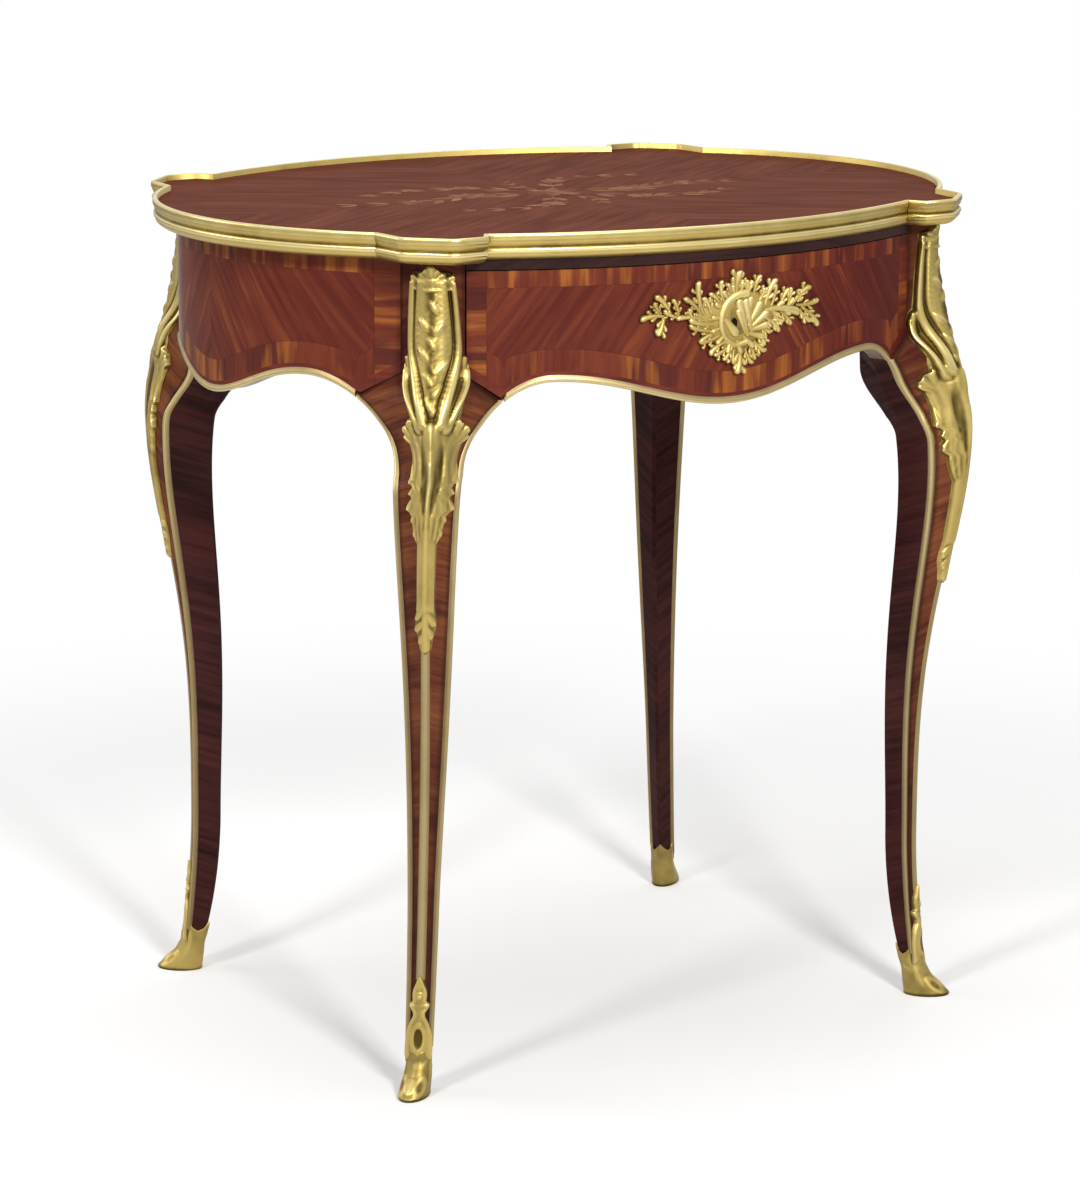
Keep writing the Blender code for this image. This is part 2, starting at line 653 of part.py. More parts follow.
def make_leg_fillets(corner, signs, gilt):
    """The two edge fillets of a leg, from the sabot up to the apron joint, and the fillet on its arris."""
    levels = LEG_LEVELS[(LEG_LEVELS > FILLET_FOOT) & (LEG_LEVELS <= FILLET_TOP)]
    levels = np.concatenate([[FILLET_FOOT], levels])
    for side, edge_at, inner_at in (("long", 1, 2), ("end", 5, 4)):
        rings = []
        for z in levels:
            section = leg_section(z)
            edge, inner = section[edge_at], section[inner_at]
            plan = bead_section(edge, unit(section[0] - edge), unit(inner - edge), seat_width(z))
            rings.append(raise_ring(plan if side == "end" else plan[::-1], z))
        name = "edge_fillet_" + side + "_" + corner
        add_part(name, loft_mesh(name, np.array(rings) * (*signs, 1)), gilt)
    top = CHUTE_BOTTOM - FIT_GAP
    levels = LEG_LEVELS[(LEG_LEVELS > SABOT_BUD_HEIGHT + 2 * FIT_GAP) & (LEG_LEVELS < top)]
    levels = np.concatenate([[SABOT_BUD_HEIGHT + 2 * FIT_GAP], levels, [top]])
    rings = []
    for z in levels:
        ring = facet_ring(z)
        left, right = ring[0], ring[-1]
        plan = np.array([
            left + MOUNT_GAP * OUTWARD,
            FILLET_SHOULDER * left + (1 - FILLET_SHOULDER) * right + (MOUNT_GAP + FILLET_PROUD) * OUTWARD,
            (1 - FILLET_SHOULDER) * left + FILLET_SHOULDER * right + (MOUNT_GAP + FILLET_PROUD) * OUTWARD,
            right + MOUNT_GAP * OUTWARD])
        rings.append(raise_ring(plan, z))
    name = "arris_fillet_" + corner
    add_part(name, loft_mesh(name, np.array(rings) * (*signs, 1)), gilt)


def chute_half_width(down):
    """Half width of the corner mount at a share of its length from the top, with its swells and waists."""
    shares = (0.00, 0.03, 0.08, 0.24, 0.30, 0.35, 0.38, 0.41, 0.46, 0.55, 0.62, 0.68, 0.86, 0.92, 1.00)
    halves = (
        0.3 * CHUTE_FRAME_HALF, 0.8 * CHUTE_FRAME_HALF, CHUTE_FRAME_HALF, CHUTE_FRAME_HALF,
        CHUTE_SCROLL_HALF, 0.92 * CHUTE_SCROLL_HALF, 0.80 * CHUTE_SCROLL_HALF, CHUTE_SCROLL_HALF,
        1.2 * CHUTE_LEAF_HALF, CHUTE_LEAF_HALF, 0.9 * CHUTE_LEAF_HALF, CHUTE_STRIP_HALF,
        CHUTE_STRIP_HALF, 1.25 * CHUTE_STRIP_HALF, 0.4 * CHUTE_STRIP_HALF)
    return np.interp(down, shares, halves)


def make_chute(corner, signs, gilt):
    """The gilt corner mount over the knee: a casting bent over the arris, thickest on its middle line."""
    rings = []
    for z in LEG_LEVELS[(LEG_LEVELS >= CHUTE_BOTTOM) & (LEG_LEVELS <= CHUTE_TOP)]:
        down = (CHUTE_TOP - z) / CHUTE_LENGTH
        ring = facet_ring(z)
        half = chute_half_width(down)
        to_long = unit(ring[1] - ring[0])
        to_end = unit(ring[-2] - ring[-1])
        flat = np.linalg.norm(ring[0] - ring[-1]) / 2
        wing = max(half - flat, CHUTE_LEAST_WING)
        thick = np.interp(down, (0.24, 0.38), (CHUTE_FRAME_THICKNESS, CHUTE_THICKNESS))
        thick *= min(1.0, (1 + half / CHUTE_FRAME_HALF) / 2)
        shoulder = CHUTE_SHOULDER_SHARE * thick * OUTWARD
        long_root = ring[0] + CHUTE_GAP * OUTWARD
        end_root = ring[-1] + CHUTE_GAP * OUTWARD
        long_tip = long_root + wing * to_long
        end_tip = end_root + wing * to_end
        plan = np.array([
            end_tip,
            end_root,
            long_root,
            long_tip,
            long_tip + CHUTE_EDGE * OUTWARD,
            long_root + CHUTE_SHOULDER * wing * to_long + shoulder,
            (long_root + end_root) / 2 + thick * OUTWARD,
            end_root + CHUTE_SHOULDER * wing * to_end + shoulder,
            end_tip + CHUTE_EDGE * OUTWARD])
        rings.append(raise_ring(plan, z))
    name = "chute_" + corner
    add_part(name, loft_mesh(name, np.array(rings) * (*signs, 1)), gilt)


def between(ring):
    """A ring with the middle of each side added."""
    doubled = np.empty((2 * len(ring), ring.shape[1]))
    doubled[0::2] = ring
    doubled[1::2] = (ring + np.roll(ring, -1, axis=0)) / 2
    return doubled


def grow(ring, distance):
    """A closed counter-clockwise ring pushed outwards."""
    return inset_outline(ring, -distance)


def make_sabot(corner, signs, gilt):
    """The cast shoe: a cup round the foot of the leg with a toe, its rim rising to a bud on the arris."""
    count = 2 * len(LEG_RINGS[0])
    turn = (np.arange(count) + 1) * 2 * math.pi / count
    arris_side = np.clip(np.cos(turn), 0.0, 1.0) ** SABOT_BUD_SHARPNESS
    top = SABOT_HEIGHT + (SABOT_BUD_HEIGHT - SABOT_HEIGHT) * arris_side

    def wall(share, distance):
        heights = LEG_BOTTOM + FIT_GAP + share * (top - LEG_BOTTOM)
        points = [grow(between(facet_ring(z)), distance)[i] for i, z in enumerate(heights)]
        return np.column_stack([points, heights])

    sole = ARRIS_TOP + SOLE_REACH * OUTWARD + SOLE_DRIFT * SIDEWAYS
    along = np.cos(turn)[:, None] * TOEWARD * SOLE_LENGTH / 2
    across = np.sin(turn)[:, None] * TOE_SIDE * SOLE_WIDTH / 2
    rings = []
    for height, length, width, shift in SOLE_SECTIONS:
        plan = sole + shift * SOLE_LENGTH * TOEWARD + length * along + width * across
        rings.append(raise_ring(plan, height * SABOT_HEIGHT))
    rings += [wall(share, SABOT_WALL) for share in SABOT_WALL_SHARES]
    rings += [wall(share, MOUNT_GAP) for share in SABOT_WALL_SHARES[::-1]]
    floor = wall(0.0, MOUNT_GAP)
    floor[:, 2] = LEG_BOTTOM - FIT_GAP
    rings.append(floor)
    name = "sabot_" + corner
    add_part(name, loft_mesh(name, np.array(rings) * (*signs, 1)), gilt)


# Frieze

def frieze_stations(arch_at, joint_at, post_at):
    """Places along a frieze board where its section is worked out, joints and post edges included."""
    half = np.concatenate([
        np.linspace(0.0, arch_at, 8),
        np.linspace(arch_at, joint_at, 5)[1:],
        np.linspace(joint_at, post_at, 3)[1:]])
    return np.concatenate([-half[::-1], half[1:]])


def frieze_board(name, place, edge, stations, trim, inset, top):
    """A curved frieze board: sections square to its face, with a chamfer for the fillet along the bottom."""
    rings = []
    for at in stations:
        low = edge(at)
        trimmed = at * (1 - trim / abs(stations[0]))
        rings.append([
            place(trimmed, inset, top),
            place(trimmed, inset, low + FILLET_WIDTH),
            place(trimmed, inset + FILLET_WIDTH, low),
            place(trimmed, inset + APRON_THICKNESS, low),
            place(trimmed, inset + APRON_THICKNESS, top)])
    return loft_mesh(name, rings)


def frieze_fillet(name, place, edge, stations, trim, inset):
    """The gilt fillet along the lower edge of a frieze board, between its slanted joints."""
    rings = []
    inward = np.array([1.0, 0.0])
    upward = np.array([0.0, 1.0])
    for at in stations[2:-2]:
        trimmed = at * (1 - (trim + FILLET_PROUD) / abs(stations[2]))
        section = bead_section(np.array([inset, edge(at)]), upward, inward, FILLET_WIDTH)
        rings.append([place(trimmed, depth, z) for depth, z in section])
    return loft_mesh(name, rings)


LONG_STATIONS = frieze_stations(LONG_ARCH_AT, LONG_JOINT_AT, POST_LONG_X)
END_STATIONS = frieze_stations(END_ARCH_AT, END_JOINT_AT, POST_END_Y)


def turn_to(mesh, signs):
    """Mirror a mesh to another side by its signs along X and Y."""
    build = bmesh.new()
    build.from_mesh(mesh)
    bmesh.ops.scale(build, vec=(*signs, 1.0), verts=build.verts)
    bmesh.ops.recalc_face_normals(build, faces=build.faces)
    build.to_mesh(mesh)
    build.free()
    return mesh


def make_aprons(woods, gilt):
    """Back and end aprons with their fillets."""
    sides = {
        "back": (long_point, long_lower_edge, LONG_STATIONS, LONG_INSET, (1, 1)),
        "right": (end_point, end_lower_edge, END_STATIONS, END_INSET, (1, 1)),
        "left": (end_point, end_lower_edge, END_STATIONS, END_INSET, (-1, 1))}
    for side, (place, edge, stations, inset, signs) in sides.items():
        name = "apron_" + side
        board = frieze_board(name, place, edge, stations, FIT_GAP, inset, FRAME_TOP)
        add_part(name, turn_to(board, signs), woods["panel"])
        name = "apron_fillet_" + side
        fillet = frieze_fillet(name, place, edge, stations, FIT_GAP, inset)
        add_part(name, turn_to(fillet, signs), gilt)


def front_arc(half_width, inset, count):
    """Points along the front, from -X to +X, at one distance in from the rim's outline."""
    return [long_point(x, inset, 0.0)[:2] * (1, -1) for x in np.linspace(-half_width, half_width, count)]


SLIDE_X = long_point(POST_LONG_X, LONG_INSET + APRON_THICKNESS, 0.0)[0] - FIT_GAP
BOX_HALF_WIDTH = SLIDE_X - DRAWER_CLEARANCE
FRONT_BACK_FACE = LONG_INSET + APRON_THICKNESS + FIT_GAP
RUNNER_LOW = JOINT_Z + JOINT_RISE + FIT_GAP
BOTTOM_LOW = RUNNER_LOW + RUNNER_HEIGHT + FIT_GAP
SIDE_BOTTOM = BOTTOM_LOW + DRAWER_BOTTOM + FIT_GAP
SIDE_TOP = DRAWER_TOP - DRAWER_SIDE_DROP
BOX_BACK_Y = -long_point(0.0, FRONT_BACK_FACE, 0.0)[1] + DRAWER_BOX_DEPTH


def front_of(x, inset=FRONT_BACK_FACE):
    """Y of a curved face of the front at x, by default the back face of the drawer front."""
    return LONG_CENTRE - math.sqrt((LONG_RADIUS - inset) ** 2 - x ** 2)


def make_drawer(woods, gilt, parent):
    """The drawer: curved front, two sides, back, bottom and the fillet along the lower edge of the front."""
    trim = DRAWER_CLEARANCE
    side = (long_point, long_lower_edge, LONG_STATIONS, trim, LONG_INSET)
    front = frieze_board("drawer_front", *side, DRAWER_TOP)
    front = add_part("drawer_front", turn_to(front, (1, -1)), woods["panel"], parent)
    fillet = frieze_fillet("drawer_fillet", *side)
    add_part("drawer_fillet", turn_to(fillet, (1, -1)), gilt, parent)
    outer = BOX_HALF_WIDTH
    inner = BOX_HALF_WIDTH - DRAWER_SIDE
    for side, sign in (("left", -1), ("right", 1)):
        plan = [(sign * outer, front_of(outer)), (sign * inner, front_of(inner)),
                (sign * inner, BOX_BACK_Y), (sign * outer, BOX_BACK_Y)]
        name = "drawer_side_" + side
        add_part(name, board_mesh(name, plan, SIDE_BOTTOM, SIDE_TOP), woods["inside"], parent)
    low = (-inner + FIT_GAP, BOX_BACK_Y - DRAWER_SIDE, SIDE_BOTTOM)
    high = (inner - FIT_GAP, BOX_BACK_Y, SIDE_TOP)
    add_part("drawer_back", block_mesh("drawer_back", low, high), woods["inside"], parent)
    plan = [(x, front_of(x)) for x in np.linspace(-outer, outer, 17)]
    plan += [(outer, BOX_BACK_Y), (-outer, BOX_BACK_Y)]
    bottom = board_mesh("drawer_bottom", plan, BOTTOM_LOW, BOTTOM_LOW + DRAWER_BOTTOM)
    add_part("drawer_bottom", bottom, woods["inside"], parent)
    return front


def make_rails(woods):
    """Front rail over the drawer, and the runners and kickers that lie along the inner faces of the posts."""
    reach = LONG_INSET + TOP_RAIL_DEPTH
    end = POST_LONG_X - FIT_GAP
    plan = front_arc(end, LONG_INSET, 17) + front_arc(end, reach, 17)[::-1]
    low = FRAME_TOP - TOP_RAIL_HEIGHT
    rail = add_part("front_top_rail", board_mesh("front_top_rail", plan, low, FRAME_TOP), woods["panel"])
    outer = SLIDE_X - FIT_GAP
    inner = SLIDE_X - RUNNER_WIDTH
    kicker_front = front_of(outer, reach) + FIT_GAP
    runner_front = front_of(outer) + FIT_GAP
    length_back = -front_of(outer) - FIT_GAP
    strips = (("drawer_runner_", runner_front, RUNNER_LOW, RUNNER_LOW + RUNNER_HEIGHT),
              ("drawer_kicker_", kicker_front, low, FRAME_TOP))
    for side, sign in (("left", -1), ("right", 1)):
        for name, front, bottom, top in strips:
            xs = sorted((sign * inner, sign * outer))
            mesh = block_mesh(name + side, (xs[0], front, bottom), (xs[1], length_back, top))
            add_part(name + side, mesh, woods["inside"])
    return rail


def make_screws(steel):
    """Four wood screws up through the kickers into the top, countersunk so that the drawer clears them."""
    head = SCREW_HEAD / 2
    shank = SCREW_DIAMETER / 2
    sink = head - shank
    bottom = FRAME_TOP - TOP_RAIL_HEIGHT + FIT_GAP
    profile = ((0.0, SCREW_LENGTH), (shank, SCREW_LENGTH - shank), (shank, sink), (head, 0.0), (0.0, 0.0))
    end = SCREW_LENGTH + FIT_GAP
    hole = ((0.0, end), (shank + FIT_GAP, end), (shank + FIT_GAP, sink),
            (head + FIT_GAP, 0.0), (head + FIT_GAP, -CUTTER_OVERRUN), (0.0, -CUTTER_OVERRUN))
    x_at = SLIDE_X - RUNNER_WIDTH / 2
    for side, x in (("left", -x_at), ("right", x_at)):
        for half, y in (("front", -SCREW_SPACING / 2), ("back", SCREW_SPACING / 2)):
            place = (x, y, bottom)
            turned_part("top_screw_" + half + "_" + side, profile, place, steel)
            bore = turned_part("screw_bore_" + half + "_" + side, hole, place, steel)
            bpy.data.collections["salon_table"].objects.unlink(bore)
            bpy.data.collections["cutters"].objects.link(bore)
            bore.hide_render = True
            bore.display_type = "WIRE"
            cut(bpy.data.objects["drawer_kicker_" + side], bore)
            cut(bpy.data.objects["top_panel"], bore)


def make_lock(front, rail, metals, drawer, throw):
    """Lock let into the back of the drawer front, its bolt, and the strike plate in the rail above."""
    back = front_of(0.0)
    low_y = back - LOCK_LET_IN
    low = np.array([-LOCK_WIDTH / 2, low_y, DRAWER_TOP - LOCK_HEIGHT])
    high = np.array([LOCK_WIDTH / 2, low_y + LOCK_THICKNESS, DRAWER_TOP])
    pocket_high = high + (FIT_GAP, APRON_THICKNESS, CUTTER_OVERRUN)
    cut(front, add_cutter("lock_pocket", block_mesh("lock_pocket", low - FIT_GAP, pocket_high)))
    case = add_part("lock_case", block_mesh("lock_case", low, high), metals["steel"], drawer)
    bolt_y = low_y + LOCK_THICKNESS / 2
    bolt_low = np.array([-BOLT_WIDTH / 2, bolt_y - BOLT_THICKNESS / 2, DRAWER_TOP - BOLT_LENGTH])
    bolt_high = np.array([BOLT_WIDTH / 2, bolt_y + BOLT_THICKNESS / 2, DRAWER_TOP])
    slot_low = bolt_low - BOLT_CLEARANCE
    slot_high = bolt_high + (BOLT_CLEARANCE, BOLT_CLEARANCE, CUTTER_OVERRUN)
    cut(case, add_cutter("bolt_slot", block_mesh("bolt_slot", slot_low, slot_high)))
    add_part("lock_bolt", block_mesh("lock_bolt", bolt_low, bolt_high), metals["brass"], throw)
    rail_low = FRAME_TOP - TOP_RAIL_HEIGHT
    strike_low = np.array([-STRIKE_LENGTH / 2, bolt_y - STRIKE_WIDTH / 2, rail_low])
    strike_high = np.array([STRIKE_LENGTH / 2, bolt_y + STRIKE_WIDTH / 2, rail_low + STRIKE_THICKNESS])
    seat_low = strike_low - (FIT_GAP, FIT_GAP, CUTTER_OVERRUN)
    cut(rail, add_cutter("strike_seat", block_mesh("strike_seat", seat_low, strike_high + FIT_GAP)))
    strike = add_part("strike_plate", block_mesh("strike_plate", strike_low, strike_high), metals["brass"])
    play = 2 * BOLT_CLEARANCE
    mortise_low = np.array([bolt_low[0] - play, bolt_low[1] - play, rail_low - CUTTER_OVERRUN])
    mortise_high = np.array([bolt_high[0] + play, bolt_high[1] + play, DRAWER_TOP + BOLT_THROW + play])
    mortise = add_cutter("bolt_mortise", block_mesh("bolt_mortise", mortise_low, mortise_high))
    cut(rail, mortise)
    cut(strike, mortise)


def escutcheon_reach(angle):
    """Outline of the leafy spray: a lozenge drawn out sideways, with shallow leaf lobes round its edge."""
    across = 2 * abs(math.cos(angle)) / ESCUTCHEON_LENGTH
    upward = 2 * abs(math.sin(angle)) / ESCUTCHEON_HEIGHT
    power = ESCUTCHEON_SQUARENESS
    lozenge = (across ** power + upward ** power) ** (-1 / power)
    lobes = 1 + ESCUTCHEON_LOBE_DEPTH * math.cos(ESCUTCHEON_LOBES * angle)
    return lozenge * lobes / (1 + ESCUTCHEON_LOBE_DEPTH)


ESCUTCHEON_SIDES = 4 * ESCUTCHEON_LOBES


def make_escutcheon(front, gilt, drawer):
    """The gilt spray round the keyhole, bent to the face of the drawer, and the keyhole through both."""
    middle_z = UNDERSIDE - ESCUTCHEON_DROP
    angles = np.arange(ESCUTCHEON_SIDES) * 2 * math.pi / ESCUTCHEON_SIDES

    def ring(share, height):
        points = []
        for angle in angles:
            reach = share * escutcheon_reach(angle)
            x = reach * math.cos(angle)
            point = long_point(x, LONG_INSET - ESCUTCHEON_GAP - height, middle_z + reach * math.sin(angle))
            points.append(point * (1, -1, 1))
        return points

    thick = ESCUTCHEON_THICKNESS
    rings = [ring(share, 0.0) for share in (0.08, 0.3, 0.55, 0.8, 1.0)]
    rings += [ring(0.97, 0.3 * thick), ring(0.55, 0.6 * thick),
             ring(0.22, thick), ring(0.08, 0.7 * thick)]
    plate = add_part("escutcheon", loft_mesh("escutcheon", rings), gilt, drawer)
    length = 2 * (APRON_THICKNESS + ESCUTCHEON_THICKNESS)
    place = (0.0, front_of(0.0) - APRON_THICKNESS, middle_z)
    keyhole = add_cutter("keyhole", rod_mesh("keyhole", KEYHOLE_DIAMETER / 2, length, place, "Y", 12))
    cut(plate, keyhole)
    cut(front, keyhole)
    cut(bpy.data.objects["lock_case"], keyhole)


def add_axis(name, place, parent=None):
    """An empty on a joint's axis, to carry the pieces that move with it."""
    axis = bpy.data.objects.new(name, None)
    bpy.data.collections["salon_table"].objects.link(axis)
    axis.location = place
    bpy.context.view_layer.update()
    if parent is not None:
        axis.parent = parent
        axis.matrix_parent_inverse = parent.matrix_world.inverted()
        bpy.context.view_layer.update()
    return axis


def main():
    """Build the whole table."""
    clear_scene()
    gilt = finish("gilt_bronze", (0.50, 0.38, 0.12), 0.30, 1.0)
    metals = {"steel": finish("lock_steel", (0.42, 0.41, 0.40), 0.40, 1.0),
              "brass": finish("brass", (0.55, 0.43, 0.18), 0.35, 1.0)}
    woods = {
        "top": finish("top_veneer", (0.17, 0.055, 0.035), 0.28),
        "panel": finish("kingwood", (0.15, 0.035, 0.020), 0.28),
        "leg": finish("leg_veneer", (0.19, 0.055, 0.025), 0.30),
        "core": finish("oak", (0.33, 0.21, 0.11), 0.60),
        "inside": finish("drawer_oak", (0.38, 0.25, 0.13), 0.60)}
    middle_z = UNDERSIDE - ESCUTCHEON_DROP
    drawer = add_axis("drawer_slide_axis", (0.0, front_of(0.0), middle_z))
    throw = add_axis("lock_bolt_axis", (0.0, front_of(0.0), DRAWER_TOP), drawer)
    make_top(woods)
    make_rim(gilt)
    for corner, signs in CORNERS.items():
        make_leg(corner, signs, woods["leg"])
        make_leg_fillets(corner, signs, gilt)
        make_chute(corner, signs, gilt)
        make_sabot(corner, signs, gilt)
    make_aprons(woods, gilt)
    rail = make_rails(woods)
    front = make_drawer(woods, gilt, drawer)
    make_screws(metals["steel"])
    make_lock(front, rail, metals, drawer, throw)
    make_escutcheon(front, gilt, drawer)


main()
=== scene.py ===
"""Looks of the oval salon table: veneers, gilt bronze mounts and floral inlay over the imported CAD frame.

Metres, +Z up, in the frame's own axes: X along the length, the drawer towards -Y.  Corner pieces are
worked out once, for the corner at +X +Y, and mirrored by sign to the other three, as in the CAD.
"""

import math

import bpy
import numpy as np
from mathutils import Matrix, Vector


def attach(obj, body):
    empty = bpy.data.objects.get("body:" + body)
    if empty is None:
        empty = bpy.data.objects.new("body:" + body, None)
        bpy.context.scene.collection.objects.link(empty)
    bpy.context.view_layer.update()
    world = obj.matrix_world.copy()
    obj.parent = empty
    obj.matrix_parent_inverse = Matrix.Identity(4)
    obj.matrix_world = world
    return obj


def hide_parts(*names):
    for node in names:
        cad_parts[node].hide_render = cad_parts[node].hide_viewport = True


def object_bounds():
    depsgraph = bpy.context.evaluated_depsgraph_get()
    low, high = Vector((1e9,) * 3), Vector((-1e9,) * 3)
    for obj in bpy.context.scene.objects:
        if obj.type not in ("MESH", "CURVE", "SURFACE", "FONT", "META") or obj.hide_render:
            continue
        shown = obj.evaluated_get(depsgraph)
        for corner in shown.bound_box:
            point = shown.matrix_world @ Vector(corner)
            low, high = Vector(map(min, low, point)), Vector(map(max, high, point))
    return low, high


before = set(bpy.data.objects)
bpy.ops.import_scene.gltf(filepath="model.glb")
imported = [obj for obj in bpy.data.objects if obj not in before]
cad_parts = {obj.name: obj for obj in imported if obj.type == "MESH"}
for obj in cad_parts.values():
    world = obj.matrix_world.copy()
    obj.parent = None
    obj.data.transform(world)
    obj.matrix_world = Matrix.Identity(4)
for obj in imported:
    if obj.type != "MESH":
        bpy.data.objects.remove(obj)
FRAME_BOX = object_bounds()

# Top outline and rim, as in the CAD
MM = 0.001
TABLE_HEIGHT = FRAME_BOX[1][2]
TOP_LENGTH = FRAME_BOX[1][0] - FRAME_BOX[0][0]
TOP_DEPTH = FRAME_BOX[1][1] - FRAME_BOX[0][1]
LONG_SAGITTA = 0.0516
END_SAGITTA = 0.078
EAR_LENGTH = 0.078
EAR_DEPTH = 0.0564
EAR_LONG_STEP = 0.0145
EAR_STEP_RUN = 0.009
EAR_END_STEP = 0.002
EAR_CHAMFER = 0.034
EAR_SHOULDER_RADIUS = 0.018
RIM_HEIGHT = 0.0229
LIP_WIDTH = 0.0044
LIP_HEIGHT = 0.005
VENEER_THICKNESS = 0.0012

# Frieze, as in the CAD
LONG_INSET = 0.009
END_INSET = 0.022
APRON_THICKNESS = 0.020
POST_LONG_STEP = 0.0130
POST_END_STEP = -0.0045
ARCH_DROP = 0.1045
CENTRE_DROP = 0.133
LONG_ARCH_SPAN = 0.068
LONG_SWEEP_RUN = 0.074
LONG_SWEEP_DROP = 0.105
END_ARCH_SPAN = 0.069
END_SWEEP_RUN = 0.068
END_SWEEP_DROP = 0.085
JOINT_DROP = 0.1205
JOINT_RISE = 0.021
FIT_GAP = 0.0003
TOP_RAIL_HEIGHT = 0.0085
DRAWER_CLEARANCE = 0.0010
LOCK_HALF_WIDTH = 0.0233
LOCK_DROP = 0.0363
LOCK_LET_IN = 0.0068

# Legs, as in the CAD
LEG_TURN = math.radians(50.0)
EAR_OVERHANG = 0.0214
KNEE_DROP = 0.182
ANKLE_HEIGHT = 0.157
LEG_BOTTOM = 0.012
KNEE_REACH = 0.0354
ANKLE_REACH = -0.0085
FOOT_REACH = 0.0050
KNEE_DRIFT = 0.0045
FOOT_DRIFT = -0.0145
KNEE_LEAN = 0.0068
KNEE_HALF_WIDTH = 0.0285
ANKLE_HALF_WIDTH = 0.0125
FOOT_HALF_WIDTH = 0.0105
KNEE_RISE = 0.032
ANKLE_RISE = 0.0078
POST_RISE = 0.0174
KNEE_BACK = 0.043
ANKLE_BACK = 0.0245
FOOT_BACK = 0.0095
ARRIS_FLAT = 0.0045
INNER_CHAMFER = 0.004
KNEE_BLEND = 0.018
FOOT_SWING = 1.7
FOOT_TAPER = 2.5
KNEE_SWING = 1.5
POST_SWING = 0.8
WIDTH_SWELL = 1.3
RISE_SWELL = 2.0
BACK_SWELL = 1.6
LEAN_SWELL = 4.0
DRIFT_SWELL = 0.6

# Mounts
FILLET_WIDTH = 0.0048
FILLET_FOOT_SHARE = 0.74
ARRIS_FILLET = 0.0055
FILLET_PROUD = 0.0014
CHUTE_TOP_DROP = 0.002
CHUTE_LENGTH = 0.333
SABOT_HEIGHT = 0.046
SABOT_WALL = 0.0024
BUD_LOW = 0.028
BUD_TOP = 0.1063
SOLE_LENGTH = 0.043
SOLE_WIDTH = 0.027
SOLE_TURN = math.radians(38.0)
SOLE_REACH = 0.0040
SOLE_DRIFT = -0.0160
ESCUTCHEON_DROP = 0.0640
KEYHOLE_RADIUS = 0.003

# Camera, fitted to the photo
CAMERA_PLACE = (-2.1064, -3.3214, 1.2420)
CAMERA_YAW = 0.5625
CAMERA_PITCH = 0.2163
CAMERA_ROLL = 0.0031
FOCAL_PIXELS = 4318.7
PICTURE_HEIGHT = 1184
SENSOR = 36.0

# Values worked out from the sizes above
UNDERSIDE = TABLE_HEIGHT - RIM_HEIGHT
FRAME_TOP = UNDERSIDE - FIT_GAP
WOOD_SURFACE = TABLE_HEIGHT - LIP_HEIGHT
LONG_HALF_CHORD = TOP_LENGTH / 2 - END_SAGITTA - EAR_LENGTH
END_HALF_CHORD = TOP_DEPTH / 2 - LONG_SAGITTA - EAR_DEPTH
LONG_RADIUS = (LONG_HALF_CHORD ** 2 + LONG_SAGITTA ** 2) / (2 * LONG_SAGITTA)
END_RADIUS = (END_HALF_CHORD ** 2 + END_SAGITTA ** 2) / (2 * END_SAGITTA)
LONG_CENTRE = LONG_RADIUS - TOP_DEPTH / 2
END_CENTRE = TOP_LENGTH / 2 - END_RADIUS
EAR_CORNER = np.array([
    TOP_LENGTH / 2 - END_SAGITTA - EAR_END_STEP, TOP_DEPTH / 2 - LONG_SAGITTA + EAR_LONG_STEP])
OUTWARD = np.array([math.cos(LEG_TURN), math.sin(LEG_TURN)])
SIDEWAYS = np.array([-math.sin(LEG_TURN), math.cos(LEG_TURN)])
TOEWARD = np.array([math.cos(SOLE_TURN), math.sin(SOLE_TURN)])
TOE_SIDE = np.array([-math.sin(SOLE_TURN), math.cos(SOLE_TURN)])
ARRIS_TOP = EAR_CORNER - EAR_CHAMFER / 2 - EAR_OVERHANG * OUTWARD
ARCH_Z = UNDERSIDE - ARCH_DROP
CENTRE_Z = UNDERSIDE - CENTRE_DROP
JOINT_Z = UNDERSIDE - JOINT_DROP
KNEE_Z = UNDERSIDE - KNEE_DROP
POST_LONG_X = LONG_HALF_CHORD + POST_LONG_STEP
POST_END_Y = END_HALF_CHORD + POST_END_STEP
LONG_ARCH_AT = POST_LONG_X - LONG_ARCH_SPAN
END_ARCH_AT = POST_END_Y - END_ARCH_SPAN
DRAWER_TOP = FRAME_TOP - TOP_RAIL_HEIGHT - DRAWER_CLEARANCE
CHUTE_TOP = UNDERSIDE - CHUTE_TOP_DROP
CHUTE_BOTTOM = CHUTE_TOP - CHUTE_LENGTH
CORNERS = {"front_left": (-1, -1), "front_right": (1, -1), "back_left": (-1, 1), "back_right": (1, 1)}


# Angles in degrees past which an edge of a piece stays sharp
WOOD_CREASE = 38.0
RIM_CREASE = 50.0
PLATE_CREASE = 60.0
FILLET_CREASE = 70.0
CASTING_CREASE = 75.0


# Shapes

def unit(vector):
    """Vectors of length one along the last axis."""
    return vector / np.linalg.norm(vector, axis=-1, keepdims=True)


def ease(value):
    """Smooth step from 0 to 1: 3 v squared minus 2 v cubed."""
    value = np.clip(value, 0.0, 1.0)
    return value * value * (3 - 2 * value)


def within(value, first, rise, last, fall):
    """A share that eases from 0 to 1 over the rise past first, and back to 0 over the fall up to last."""
    return ease((value - first) / rise) * ease((last - value) / fall)


def dome(distance, reach):
    """Half-round swell: the square root of 1 - (distance / reach) squared, and 0 beyond the reach."""
    return np.sqrt(np.clip(1 - (distance / reach) ** 2, 0.0, 1.0))


def bump(across, down, middle, reach):
    """Oval swell round a middle: the half-round of the scaled distance from it."""
    return dome(np.hypot((across - middle[0]) / reach[0], (down - middle[1]) / reach[1]), 1.0)


def spread(first, last, count):
    """Points in a row from one array of points towards another, the last left out."""
    share = (np.arange(count) / count)[:, None]
    return first[..., None, :] * (1 - share) + last[..., None, :] * share


